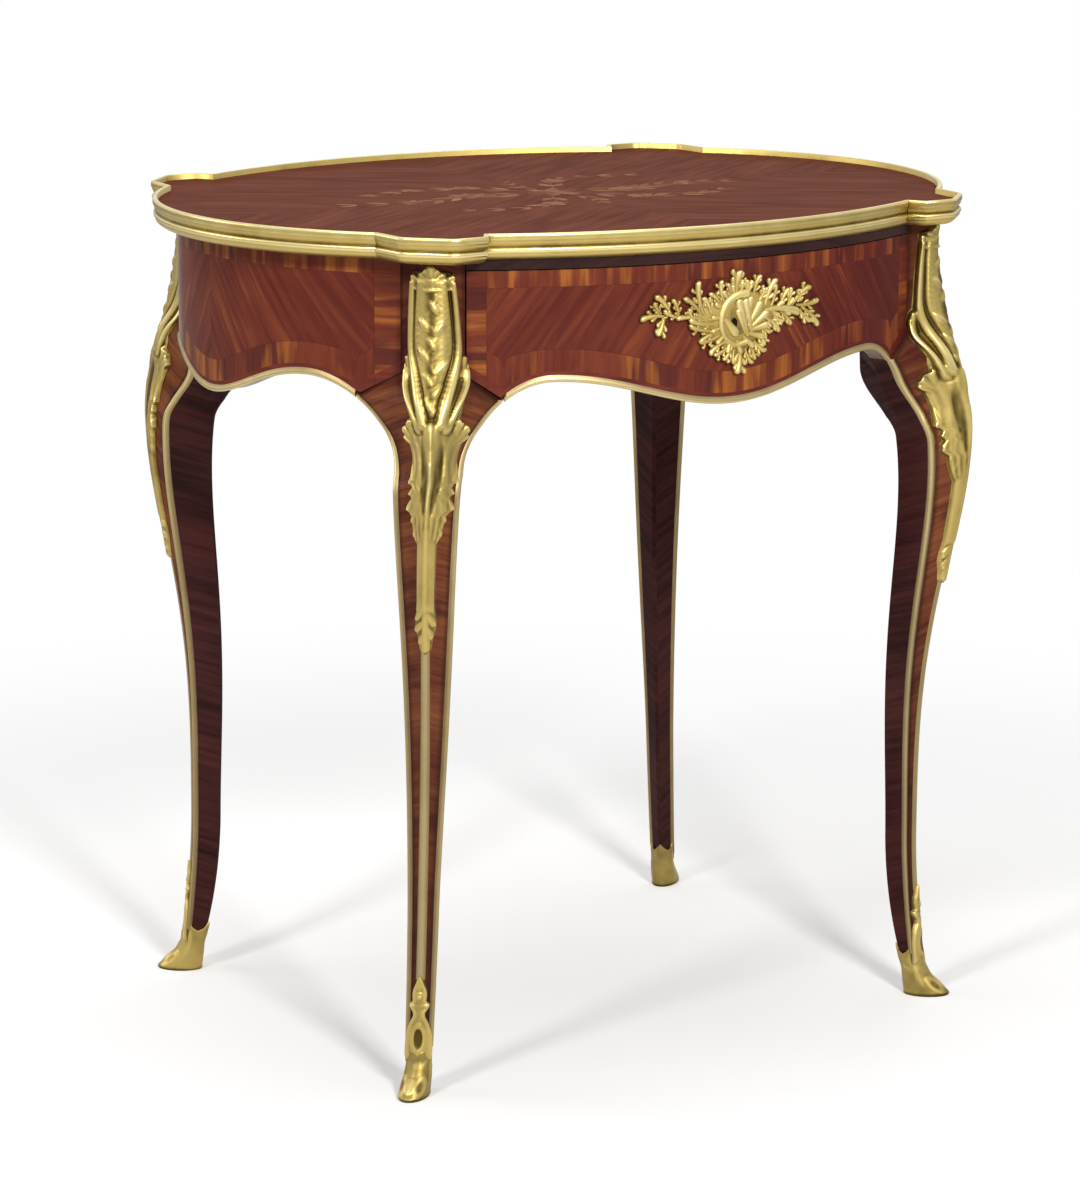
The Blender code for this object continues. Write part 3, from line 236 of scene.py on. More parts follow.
def lift(plan, z):
    """Rings in plan (rows, points, xy) raised to the heights z of their rows."""
    heights = np.broadcast_to(z[:, None, None], (*plan.shape[:2], 1))
    return np.concatenate([plan, heights], axis=2)


def relief_of(height, reach):
    """How far each point of a height map stands over its surroundings: height less its local mean."""
    mean = height
    for step in (1, 2, 4, 8):
        padded = np.pad(mean, step, mode="edge")
        inner = slice(step, -step)
        low = slice(None, -2 * step)
        high = slice(2 * step, None)
        mean = (padded[inner, inner] + padded[low, inner] + padded[high, inner]
                + padded[inner, low] + padded[inner, high]) / 5
    return np.clip(0.5 + (height - mean) / reach, 0.0, 1.0)


def ring_faces(rows, cols):
    """Four-cornered faces between rows of rings, each ring joined to its own start."""
    row, col = np.meshgrid(np.arange(rows - 1), np.arange(cols), indexing="ij")
    beside = (col + 1) % cols
    here = row * cols
    there = here + cols
    faces = np.stack([here + col, here + beside, there + beside, there + col], -1)
    return faces.reshape(-1, 4)


def solid_volume(points, blocks):
    """Signed volume inside closed faces: a sum of tetrahedra from the origin."""
    total = 0.0
    for block in blocks:
        for i in range(1, block.shape[1] - 1):
            normal = np.cross(points[block[:, i]], points[block[:, i + 1]])
            total += np.sum(points[block[:, 0]] * normal)
    return total


def add_piece(name, shells, material, body, stands_for=(), crease=WOOD_CREASE):
    """One mesh of closed shells (points, values): grids of rings with both ends closed, faces outward.

    A shell is turned round where its signed volume is negative; its values become point attributes."""
    points, corners, sizes, values = [], [], [], {}
    first = 0
    for grid, named in shells:
        rows, cols = grid.shape[:2]
        flat = grid.reshape(-1, 3)
        ends = (np.arange(cols)[None, ::-1], np.arange(cols)[None] + (rows - 1) * cols)
        blocks = [ring_faces(rows, cols), *ends]
        turn = -1 if solid_volume(flat, blocks) < 0 else 1
        for block in blocks:
            corners.append((block[:, ::turn] + first).ravel())
            sizes.append(np.full(len(block), block.shape[1]))
        points.append(flat)
        for key, value in named.items():
            value = np.asarray(value, dtype=float)
            values.setdefault(key, []).append(value.reshape(rows * cols, -1))
        first += len(flat)
    points = np.concatenate(points)
    corners = np.concatenate(corners)
    sizes = np.concatenate(sizes)
    starts = np.concatenate([[0], np.cumsum(sizes)[:-1]])
    mesh = bpy.data.meshes.new(name)
    mesh.vertices.add(len(points))
    mesh.vertices.foreach_set("co", points.ravel())
    mesh.loops.add(len(corners))
    mesh.loops.foreach_set("vertex_index", corners.astype(np.int32))
    mesh.polygons.add(len(sizes))
    mesh.polygons.foreach_set("loop_start", starts.astype(np.int32))
    mesh.update(calc_edges=True)
    for key, parts in values.items():
        data = np.concatenate(parts).astype(np.float32)
        single = data.shape[1] == 1
        layer = mesh.attributes.new(key, "FLOAT" if single else "FLOAT_VECTOR", "POINT")
        layer.data.foreach_set("value" if single else "vector", data.ravel())
    mesh.validate()
    mesh.shade_smooth()
    mesh.set_sharp_from_angle(angle=math.radians(crease))
    mesh.materials.append(material)
    piece = bpy.data.objects.new(name, mesh)
    bpy.context.scene.collection.objects.link(piece)
    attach(piece, body)
    if stands_for:
        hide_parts(*stands_for)
    return piece


def long_point(x, inset, z):
    """A point on the long side (+Y), straight in from x on the outer face of the frieze."""
    angle = np.arcsin(x / (LONG_RADIUS - LONG_INSET))
    radius = LONG_RADIUS - inset
    y = radius * np.cos(angle) - LONG_CENTRE
    return np.stack(np.broadcast_arrays(radius * np.sin(angle), y, z), -1)


def end_point(y, inset, z):
    """A point on the end (+X), straight in from y on the outer face of the frieze."""
    angle = np.arcsin(y / (END_RADIUS - END_INSET))
    radius = END_RADIUS - inset
    x = radius * np.cos(angle) + END_CENTRE
    return np.stack(np.broadcast_arrays(x, radius * np.sin(angle), z), -1)


def sweep_place(z, arch_at, run, drop):
    """Where the lower edge stands at height z: a quarter ellipse from the arch out to the leg."""
    fall = np.clip((ARCH_Z - z) / drop, 0.0, 1.0)
    return arch_at + run * np.sqrt(1 - (1 - fall) ** 2)


LONG_JOINT_AT = sweep_place(JOINT_Z, LONG_ARCH_AT, LONG_SWEEP_RUN, LONG_SWEEP_DROP)
END_JOINT_AT = sweep_place(JOINT_Z, END_ARCH_AT, END_SWEEP_RUN, END_SWEEP_DROP)


def lower_edge(at, arch_at, run, drop, joint_at, post_at):
    """Height of the lower edge: a cosine wave to the arch, the quarter ellipse, then the slanted joint."""
    at = np.abs(at)
    wave = CENTRE_Z + (ARCH_Z - CENTRE_Z) * (1 - np.cos(np.pi * at / arch_at)) / 2
    sweep = ARCH_Z - drop * (1 - np.sqrt(np.clip(1 - ((at - arch_at) / run) ** 2, 0.0, 1.0)))
    joint = JOINT_Z + JOINT_RISE * (at - joint_at) / (post_at - joint_at)
    return np.where(at <= arch_at, wave, np.where(at <= joint_at, sweep, joint))


def long_lower_edge(x):
    """Lower edge of the back apron and the drawer front."""
    return lower_edge(x, LONG_ARCH_AT, LONG_SWEEP_RUN, LONG_SWEEP_DROP, LONG_JOINT_AT, POST_LONG_X)


def end_lower_edge(y):
    """Lower edge of the end aprons."""
    return lower_edge(y, END_ARCH_AT, END_SWEEP_RUN, END_SWEEP_DROP, END_JOINT_AT, POST_END_Y)


# Top outline

END_STEPS = 40
LONG_STEPS = 48
EAR_ARC_POINTS = 10


def arc_points(start, stop, count, radius, centre):
    """Points on a circle from one angle to another."""
    angles = np.linspace(start, stop, count)
    return np.stack([centre[0] + radius * np.cos(angles), centre[1] + radius * np.sin(angles)], axis=1)


def ear_points():
    """The ear over the leg: flank, shoulder, flat nose, shoulder, flank and the step to the long side."""
    radius = EAR_SHOULDER_RADIUS
    tangent = radius * math.tan(math.pi / 8)
    right_shoulder = EAR_CORNER + (-radius, -EAR_CHAMFER - tangent)
    left_shoulder = EAR_CORNER + (-EAR_CHAMFER - tangent, -radius)
    step_end = np.array([LONG_HALF_CHORD + EAR_STEP_RUN, EAR_CORNER[1]])
    return np.concatenate([
        arc_points(0.0, math.pi / 4, EAR_ARC_POINTS, radius, right_shoulder),
        arc_points(math.pi / 4, math.pi / 2, EAR_ARC_POINTS, radius, left_shoulder),
        [step_end]])


def top_outline():
    """The whole outline, counter-clockwise from the middle of the +X end, built from its +X +Y quarter."""
    end_turn = math.asin(END_HALF_CHORD / END_RADIUS)
    long_turn = math.asin(LONG_HALF_CHORD / LONG_RADIUS)
    end_arc = arc_points(0.0, end_turn, END_STEPS + 1, END_RADIUS, (END_CENTRE, 0.0))
    start = math.pi / 2 - long_turn
    long_arc = arc_points(start, math.pi / 2, LONG_STEPS + 1, LONG_RADIUS, (0.0, -LONG_CENTRE))
    corner = np.concatenate([end_arc, ear_points(), long_arc])
    back = corner[::-1][1:] * (-1, 1)
    left = -corner[1:]
    front = corner[::-1][1:-1] * (1, -1)
    return np.concatenate([corner, back, left, front])


def inset_outline(points, inset):
    """Move closed outlines (..., points, xy) inwards by one distance, mitred at their corners."""
    before = unit(points - np.roll(points, 1, axis=-2))
    after = unit(np.roll(points, -1, axis=-2) - points)
    turned = before + after
    bisector = np.stack([-turned[..., 1], turned[..., 0]], axis=-1)
    stretch = 2.0 / np.sum(bisector ** 2, axis=-1, keepdims=True)
    return points + inset * bisector * stretch


# Section of the rim in millimetres: inset, fall from the top, and how burnished it is
RIM_PROFILE = (
    (4.4, 10.5, 0.3), (4.4, 0.6, 0.5), (4.0, 0.15, 0.7), (3.3, 0.0, 0.9), (1.5, 0.0, 0.9), (0.6, 0.35, 0.9),
    (0.12, 1.1, 0.85), (0.0, 2.2, 0.8), (0.0, 4.8, 0.7), (0.25, 5.7, 0.62), (0.7, 6.2, 0.48),
    (0.9, 6.5, 0.42), (0.95, 6.9, 0.46), (1.1, 7.6, 0.5), (1.5, 8.8, 0.46), (2.4, 10.2, 0.4),
    (2.9, 11.3, 0.22), (2.6, 11.9, 0.08), (1.5, 12.3, 0.5), (0.8, 13.0, 0.9), (0.55, 14.2, 1.0),
    (0.75, 15.4, 0.95), (1.2, 16.3, 0.75),
    (1.6, 16.9, 0.5), (1.75, 17.4, 0.45), (1.85, 18.0, 0.6), (2.3, 19.2, 0.6), (3.4, 20.5, 0.5),
    (5.2, 21.8, 0.45), (7.9, 22.9, 0.4), (12.0, 22.9, 0.2), (12.0, 18.3, 0.2))
RIM_JOINT_GAP = 0.0002


def make_rim(gilt):
    """The rim's profile carried along the outline: four long castings and four ears, butted together."""
    outline = top_outline()
    total = len(outline)
    insets, falls, burnish = np.array(RIM_PROFILE).T
    rails = [np.column_stack([inset_outline(outline, inset * MM), np.full(total, TABLE_HEIGHT - fall * MM)])
             for inset, fall in zip(insets, falls)]
    rings = np.stack(rails, axis=1)
    ear = len(ear_points()) + 1
    quarter = END_STEPS + ear + LONG_STEPS
    spans = {"right": (-END_STEPS, END_STEPS), "back": (quarter - LONG_STEPS, quarter + LONG_STEPS),
             "left": (2 * quarter - END_STEPS, 2 * quarter + END_STEPS),
             "front": (3 * quarter - LONG_STEPS, 3 * quarter + LONG_STEPS)}
    for number, corner in enumerate(("back_right", "back_left", "front_left", "front_right")):
        start = number * quarter + (END_STEPS if number % 2 == 0 else LONG_STEPS)
        spans["ear_" + corner] = (start, start + ear)
    for side, (start, stop) in spans.items():
        section = rings[np.arange(start, stop + 1) % total].copy()
        for end, beside in ((0, 1), (-1, -2)):
            section[end] += RIM_JOINT_GAP * unit(section[beside] - section[end])
        relief = np.broadcast_to(burnish, section.shape[:2])
        add_piece("gilt_rim_" + side, [(section, {"relief": relief})], gilt, "table",
                  ["rim_" + side], RIM_CREASE)


PIN_RADIUS = 0.0013
PIN_FALL = 0.0088
PIN_INSET = 0.0022
PIN_DOME = 0.6
PIN_BURNISH = 0.55
# Places of the pins as shares of each side's run
PIN_PLACES = (0.12, 0.37, 0.63, 0.88)
PIN_RUN = 0.96


def make_rim_pins(gilt):
    """Small round heads of the pins that fix the rim, domed, in its hollow band."""
    shells = []
    turn = np.linspace(0.0, 2 * np.pi, 13)[:-1]
    tilt = np.linspace(0.05, np.pi / 2, 5)
    for place, half in ((long_point, LONG_HALF_CHORD), (end_point, END_HALF_CHORD)):
        for share in PIN_PLACES:
            at = (2 * share - 1) * half * PIN_RUN
            across = at + PIN_RADIUS * np.sin(tilt)[:, None] * np.cos(turn)
            height = TABLE_HEIGHT - PIN_FALL + PIN_RADIUS * np.sin(tilt)[:, None] * np.sin(turn)
            inset = PIN_INSET - PIN_DOME * PIN_RADIUS * np.cos(tilt)[:, None] + 0 * turn
            cap = place(across, inset, height)
            for sign in (-1, 1):
                side = (1, sign, 1) if place is long_point else (sign, 1, 1)
                shells.append((cap * side, {"relief": np.full(cap.shape[:2], PIN_BURNISH)}))
    add_piece("gilt_rim_pins", shells, gilt, "table")


SHEET_GAP = 0.0001


def make_top_sheet(wood):
    """The veneered sheet: the outline drawn in to the rim's lip, two level rings closed by flat faces."""
    outline = inset_outline(top_outline(), LIP_WIDTH + SHEET_GAP)
    levels = np.array([WOOD_SURFACE - VENEER_THICKNESS, WOOD_SURFACE])
    rings = lift(np.broadcast_to(outline, (2, *outline.shape)), levels)
    add_piece("top_sheet", [(rings, {})], wood, "table", ["top_veneer"])


# Legs

def leg_measures(z):
    """Reach, drift, lean, half width, rise and depth of the leg's section at the heights z."""
    down = np.clip(1 - z / ANKLE_HEIGHT, 0.0, 1.0)
    up = np.clip((z - ANKLE_HEIGHT) / (KNEE_Z - ANKLE_HEIGHT), 0.0, 1.0)
    post = np.clip((z - KNEE_Z) / (UNDERSIDE - KNEE_Z), 0.0, 1.0)
    reach = ANKLE_REACH + (FOOT_REACH - ANKLE_REACH) * down ** FOOT_SWING
    reach = reach + (KNEE_REACH - ANKLE_REACH) * (1 - np.cos(np.pi * up ** KNEE_SWING)) / 2
    reach = reach - KNEE_REACH * (1 - np.cos(np.pi * post ** POST_SWING)) / 2
    half = ANKLE_HALF_WIDTH + (FOOT_HALF_WIDTH - ANKLE_HALF_WIDTH) * down
    half = half + (KNEE_HALF_WIDTH - ANKLE_HALF_WIDTH) * up ** WIDTH_SWELL
    rise = ANKLE_RISE + (KNEE_RISE - ANKLE_RISE) * up ** RISE_SWELL + (POST_RISE - KNEE_RISE) * post
    back = ANKLE_BACK + (FOOT_BACK - ANKLE_BACK) * down ** FOOT_TAPER
    back = back + (KNEE_BACK - ANKLE_BACK) * up ** BACK_SWELL
    lean = KNEE_LEAN * up ** LEAN_SWELL
    drift = KNEE_DRIFT + (FOOT_DRIFT - KNEE_DRIFT) * np.clip(1 - z / KNEE_Z, 0.0, 1.0) ** DRIFT_SWELL
    drift = drift * (1 - ease(post))
    return [value[:, None] for value in (reach, drift, lean, half, rise, back)]


def leg_section(z):
    """Named corners of the leg in plan at the heights z, for the corner at +X +Y."""
    reach, drift, lean, half, rise, back = leg_measures(z)
    arris = ARRIS_TOP + reach * OUTWARD + drift * SIDEWAYS
    middle = arris - rise * OUTWARD - lean * SIDEWAYS
    slant = np.clip((z - JOINT_Z) / JOINT_RISE, 0.0, 1.0)
    long_at = sweep_place(np.minimum(z, JOINT_Z), LONG_ARCH_AT, LONG_SWEEP_RUN, LONG_SWEEP_DROP)
    end_at = sweep_place(np.minimum(z, JOINT_Z), END_ARCH_AT, END_SWEEP_RUN, END_SWEEP_DROP)
    long_at = long_at + (POST_LONG_X - LONG_JOINT_AT) * slant
    end_at = end_at + (POST_END_Y - END_JOINT_AT) * slant
    to_post = ease((z - KNEE_Z + KNEE_BLEND) / (JOINT_Z - KNEE_Z))[:, None]
    deep = APRON_THICKNESS
    long_post = long_point(long_at, LONG_INSET, z)[:, :2]
    end_post = end_point(end_at, END_INSET, z)[:, :2]
    long_edge = (1 - to_post) * (middle + half * SIDEWAYS) + to_post * long_post
    end_edge = (1 - to_post) * (middle - half * SIDEWAYS) + to_post * end_post
    post_inner = np.array([long_point(POST_LONG_X, LONG_INSET + deep, 0.0)[0],
                           end_point(POST_END_Y, END_INSET + deep, 0.0)[1]])
    inner = (1 - to_post) * (middle - back * OUTWARD) + to_post * post_inner
    long_back = long_point(long_at, LONG_INSET + deep, z)[:, :2]
    end_back = end_point(end_at, END_INSET + deep, z)[:, :2]
    long_inner = (1 - to_post) * (long_edge + inner) / 2 + to_post * long_back
    end_inner = (1 - to_post) * (end_edge + inner) / 2 + to_post * end_back
    return arris, long_edge, long_inner, inner, end_inner, end_edge


POST_SEAT_LOSS = 0.9


def seat_width(z):
    """Width of the chamfer that seats an edge fillet: narrower to the foot, run out above the joint."""
    foot = FILLET_FOOT_SHARE + (1 - FILLET_FOOT_SHARE) * ease(z / KNEE_Z)
    return (FILLET_WIDTH * foot * (1 - POST_SEAT_LOSS * ease((z - JOINT_Z) / JOINT_RISE)))[:, None]


LEG_FACE_POINTS = 8


def leg_rings(z):
    """Outlines of the leg at the heights z: faces, seats and inner corner, each side in equal parts."""
    arris, long_edge, long_inner, inner, end_inner, end_edge = leg_section(z)
    width = seat_width(z)
    corners = [
        arris + ARRIS_FLAT * unit(long_edge - arris), long_edge + width * unit(arris - long_edge),
        long_edge + width * unit(long_inner - long_edge), long_inner,
        inner + INNER_CHAMFER * unit(long_inner - inner), inner + INNER_CHAMFER * unit(end_inner - inner),
        end_inner, end_edge + width * unit(end_inner - end_edge),
        end_edge + width * unit(arris - end_edge), arris + ARRIS_FLAT * unit(end_edge - arris)]
    sides = [spread(a, b, LEG_FACE_POINTS) for a, b in zip(corners, corners[1:] + corners[:1])]
    return np.concatenate(sides, axis=1)


LEG_ROWS = 200
POST_ROWS = 60
ROW_GAP = 0.001
LEG_GRAIN_SHIFT = 0.9


def make_legs(wood):
    """Four cabriole legs: the outlines stacked by height.

    Each point carries its distance round from the arris, its height and whether it is on an inner face
    (veneer), and its distance to the nearer fillet (edges)."""
    z = np.concatenate([np.linspace(LEG_BOTTOM, JOINT_Z - ROW_GAP, LEG_ROWS),
                        np.linspace(JOINT_Z, FRAME_TOP, POST_ROWS)])
    plan = leg_rings(z)
    step = np.linalg.norm(np.diff(plan, axis=1, prepend=plan[:, -1:]), axis=2)
    travel = np.cumsum(step, axis=1) - step[:, :1]
    around = np.where(np.arange(plan.shape[1]) < plan.shape[1] // 2, travel, travel - step.sum(1)[:, None])
    inner = np.zeros(plan.shape[1])
    inner[2 * LEG_FACE_POINTS - 1:7 * LEG_FACE_POINTS + 2] = 1.0
    inner = np.broadcast_to(inner, around.shape)
    veneer = np.stack([around, np.broadcast_to(z[:, None], around.shape), inner], axis=2)
    section = leg_section(z)
    to_fillet = [np.linalg.norm(plan - section[edge][:, None], axis=2) - seat_width(z) for edge in (1, 5)]
    edges = np.repeat(np.minimum(*to_fillet)[..., None], 3, axis=2)
    for number, (corner, signs) in enumerate(CORNERS.items()):
        own = veneer + np.array([0.0, LEG_GRAIN_SHIFT * number, 0.0])
        shell = (lift(plan, z) * (*signs, 1), {"veneer": own, "edges": edges})
        add_piece("veneered_leg_" + corner, [shell], wood, "table", ["leg_" + corner])


BEAD_SHARES = np.linspace(0.0, 1.0, 11)
BEAD_SINK = 0.0004
BEAD_FULLNESS = 0.7


def bead_rings(edge, along_face, along_back, width):
    """Section of a gilt edge fillet: the chamfer's line swelled out by a half sine, just past the edge."""
    share = BEAD_SHARES[:, None]
    both = along_face + along_back
    swell = width * np.linalg.norm(both, axis=-1, keepdims=True) / 2 + FILLET_PROUD
    out = -unit(both)
    line = edge[..., None, :] + width[..., None, :] * (
        (1 - share) * along_face[..., None, :] + share * along_back[..., None, :])
    height = (swell[..., None, :] + BEAD_SINK) * np.sin(np.pi * share) ** BEAD_FULLNESS - BEAD_SINK
    return line + height * out[..., None, :]


# How burnished a fillet is over its section, brightest near the face's side
BEAD_RELIEF = np.interp(BEAD_SHARES, (0.0, 0.12, 0.28, 0.5, 0.75, 1.0), (0.15, 0.25, 0.95, 0.8, 0.55, 0.2))
FILLET_ROWS = 150
ARRIS_ROWS = 90
UNDER_MOUNT = 0.004
UNDER_APRON = 0.0006
ARRIS_RIDGE = 2.8
ARRIS_FULLNESS = 0.8


def make_leg_fillets(gilt):
    """Gilt fillets on the edges of the legs and a ridged one on the arris between chute and sabot."""
    z = np.linspace(SABOT_HEIGHT - UNDER_MOUNT, JOINT_Z + UNDER_APRON, FILLET_ROWS)
    arris, long_edge, long_inner, _, end_inner, end_edge = leg_section(z)
    width = seat_width(z)
    beads = {"long": bead_rings(long_edge, unit(arris - long_edge), unit(long_inner - long_edge), width),
             "end": bead_rings(end_edge, unit(arris - end_edge), unit(end_inner - end_edge), width)}
    z_arris = np.linspace(BUD_TOP - UNDER_MOUNT, CHUTE_BOTTOM + UNDER_MOUNT, ARRIS_ROWS)
    arris, long_edge, _, _, _, end_edge = leg_section(z_arris)
    left = arris + ARRIS_FILLET * unit(long_edge - arris)
    right = arris + ARRIS_FILLET * unit(end_edge - arris)
    share = BEAD_SHARES[:, None]
    ridge = ARRIS_RIDGE * FILLET_PROUD * np.sin(np.pi * share) ** ARRIS_FULLNESS - BEAD_SINK
    arris_bead = left[:, None] * (1 - share) + right[:, None] * share + ridge * OUTWARD
    for corner, signs in CORNERS.items():
        for side, plan in beads.items():
            relief = np.broadcast_to(BEAD_RELIEF, plan.shape[:2])
            shell = (lift(plan, z) * (*signs, 1), {"relief": relief})
            add_piece("gilt_edge_" + side + "_" + corner, [shell], gilt, "table",
                      ["edge_fillet_" + side + "_" + corner], FILLET_CREASE)
        relief = np.broadcast_to(0.35 + 0.6 * np.sin(np.pi * BEAD_SHARES), arris_bead.shape[:2])
        shell = (lift(arris_bead, z_arris) * (*signs, 1), {"relief": relief})
        add_piece("gilt_arris_" + corner, [shell], gilt, "table",
                  ["arris_fillet_" + corner], FILLET_CREASE)


# Corner mounts

# Half width of the chute in millimetres at distances down from its top
CHUTE_OUTLINE = (
    (0, 2.5), (3, 5.0), (6.5, 7.5), (8, 16.5), (10, 17.5), (17, 17.5), (30, 19.2), (47, 20.5), (64, 21.0),
    (76, 21.4), (80, 23.6), (89, 24.8), (102, 26.0), (111, 25.6), (119, 24.0), (128, 21.0), (132, 20.0),
    (136, 24.4), (142, 25.2), (147, 24.0), (151, 20.0), (158, 17.5), (166, 16.2), (175, 16.7), (183, 18.0),
    (187, 14.8), (192, 16.7), (196, 14.5), (200, 17.0), (207, 17.0), (211, 12.8), (217, 12.4), (222, 11.5),
    (230, 9.8), (235, 7.7), (286, 7.3), (296, 7.7), (303, 8.6), (311, 8.6), (320, 6.0), (329, 4.7),
    (333, 2.2))
PATH_STEPS = 160
PATH_PASSES = 60
STRAP_RISE = 8
STRAP_FALL = 11
STRAP_FULLNESS = 0.6


def rounded(middle, passes):
    """A row of places, its ends kept and the rest averaged with their neighbours, several times."""
    for _ in range(passes):
        middle[1:-1] = (middle[:-2] + 2 * middle[1:-1] + middle[2:]) / 4
    return middle


def smooth_path(down, path):
    """The place across at each distance down: straight runs between points, rounded by averaging."""
    places = np.array(path, dtype=float)
    steps = np.linspace(places[0, 0], places[-1, 0], PATH_STEPS)
    middle = rounded(np.interp(steps, places[:, 0], places[:, 1]), PATH_PASSES)
    return np.interp(down, steps, middle)


def strap(across, down, path, half, height):
    """A raised band along a path of (down, across) points: a flattened half-round over the gap to it."""
    inside = within(down, path[0][0], STRAP_RISE, path[-1][0], STRAP_FALL)
    return height * inside * dome(across - smooth_path(down, path), half) ** STRAP_FULLNESS


def finger(across, down, start, end, half, height):
    """A leaf's lobe from start to end: a half-round over the gap to the line, fuller towards its tip."""
    way = np.array(end, dtype=float) - start
    share = ((across - start[0]) * way[0] + (down - start[1]) * way[1]) / (way @ way)
    share = np.clip(share, 0.0, 1.0)
    gap = np.hypot(across - start[0] - share * way[0], down - start[1] - share * way[1])
    return height * (0.55 + 0.45 * share) * dome(gap, half * (0.65 + 0.35 * share))


# Lobes of the chute in millimetres (side, down): from, to, half width and height
CREST_LOBES = ((0, 14, 0, 3, 3.4, 4.4), (1, 14, 4.6, 5.0, 2.9, 4.0), (2, 15, 8.0, 9.0, 2.7, 3.8),
               (11, 16, 14.6, 12.0, 3.4, 4.2), (7, 17, 9.8, 14.0, 3.0, 4.0), (1.5, 19, 4.6, 16.0, 3.0, 3.8))
CURL_LOBES = ((20.4, 96, 21.2, 81, 2.8, 4.6), (21.5, 98, 24.2, 87, 2.6, 4.4),
              (22.5, 106, 25.0, 96, 2.4, 4.2))
LEAF_LOBES = ((12, 150, 19, 133, 3.8, 4.6), (13, 150, 24, 139, 3.6, 5.0), (13, 152, 23, 147, 3.2, 4.4),
              (18, 153, 14.5, 180, 2.8, 3.8), (12, 174, 17.4, 183.5, 2.1, 4.6),
              (11, 184, 16, 192.5, 1.9, 4.2),
              (10.5, 192, 16, 205, 2.2, 4.6), (8, 203, 12, 215, 1.9, 4.0), (6.5, 213, 10, 228, 1.9, 3.8),
              (9, 152, 10.5, 205, 2.6, 3.4))
DROP_LOBES = ((0, 293, 1, 329, 3.4, 4.2), (-1, 292, -6.4, 300, 3.2, 4.0), (2, 297, 6.6, 306, 3.2, 4.2),
              (-1, 304, -6.4, 311, 3.0, 4.0), (2, 309, 5.2, 318, 2.8, 4.2), (0, 314, -3.8, 322, 2.8, 3.9))
# Leaves of the trail: across, down and lean
TRAIL_LEAVES = ((2.0, 36, 0.40), (-4.6, 51, 0.45), (4.8, 54, -0.30), (0.6, 66, 0.40), (-4.8, 76, 0.50),
                (6.2, 86, -0.45), (-1.6, 96, 0.40), (4.0, 105, -0.40), (-3.0, 115, 0.40), (2.0, 124, -0.30))
# The side ribs that run on as straps to the knot, and the outer straps: down and side
RIB_PATH = ((9, 14.6), (40, 16.6), (64, 17.5), (76, 17.3), (84, 15.9), (94, 13.6), (110, 10.6), (124, 8.0),
            (143, 4.8))
OUTER_PATH = ((84, 22.0), (94, 23.2), (103, 23.0), (112, 20.6), (121, 16.6), (131, 12.0), (147, 6.4))


def lobed(side, down, lobes):
    """The highest of several lobes at each point."""
    return np.maximum.reduce([finger(side, down, row[:2], row[2:4], row[4], row[5]) for row in lobes])


def soften(height, passes):
    """A height map rounded off as castings are: each point averaged with its neighbours, several times."""
    for _ in range(passes):
        padded = np.pad(height, 1, mode="edge")
        height = (4 * height + padded[:-2, 1:-1] + padded[2:, 1:-1]
                  + padded[1:-1, :-2] + padded[1:-1, 2:]) / 8
    return height


# The trail in millimetres: its stem, then the size of a leaf and of the notch along it
STEM_HEIGHT = 0.7
STEM_HALF = 1.3
STEM_SWAY = 3.0
STEM_START = 20
STEM_WAVE = 33
TRAIL_LEAF_HEIGHT = 2.3
TRAIL_LEAF_REACH = (2.5, 5.8)
NOTCH_DEPTH = 0.7
NOTCH_SHIFT = (0.8, 1)
NOTCH_REACH = (0.8, 4.4)
TRAIL_SOFTENING = 2
TRAIL_SHARE = 0.82


def trail_relief(across, down):
    """A leafy trail: a thin stem swaying as a sine, and leaning oval leaves with a notch along each."""
    sway = STEM_SWAY * np.sin((down - STEM_START) * 2 * np.pi / STEM_WAVE)
    form = STEM_HEIGHT * dome(across - sway, STEM_HALF)
    for middle, place, lean in TRAIL_LEAVES:
        beside = across - middle - lean * (down - place)
        notch_at = (NOTCH_SHIFT[0], place + NOTCH_SHIFT[1])
        blade = TRAIL_LEAF_HEIGHT * bump(beside, down, (0, place), TRAIL_LEAF_REACH)
        blade = blade - NOTCH_DEPTH * bump(beside, down, notch_at, NOTCH_REACH)
        form = np.maximum(form, blade)
    return form


# Stretches of the chute in millimetres down: start, run of the rise, end and run of the fall
FRAME_STRETCH = (12, 3, 132, 12)
CORNICE_STRETCH = (11, 3, 23.5, 2)
TRAIL_STRETCH = (22, 4, 130, 10)
LEAF_STRETCH = (132, 14, 240, 12)
STRIP_STRETCH = (196, 30, 302, 10)
# Where single forms lie, and where others start and the run over which they rise
LEDGE_DOWN = 21.5
CORNICE_DOWN = 14
KNOT_DOWN = 138
HOLLOW_DOWN = 176
LOBES_END = 236
WIDENING = (62, 34)
LEAF_RIB_FROM = (150, 16)
STRIP_WIDENING = (205, 35)
STRIP_FOOT = (285, 10)
DROP_FROM = (286, 5)
# Sizes of the knot and of the leaf's hollows
KNOT_REACH = (7.2, 9.5)
KNOT_TAPER = 0.45
HOLLOW_REACH = (2.9, 33.0)
HOLLOW_DEPTH = 2.1
CHUTE_SOFTENING = 3


def hollow_place(down):
    """How far to the side the leaf's hollows lie: a straight line drawn in from knot to leaf's end."""
    return np.interp(down, (148.0, 208.0), (5.8, 2.6))


def rises(value, start, run):
    """A share that eases from 0 to 1 over a run past its start."""
    return ease((value - start) / run)


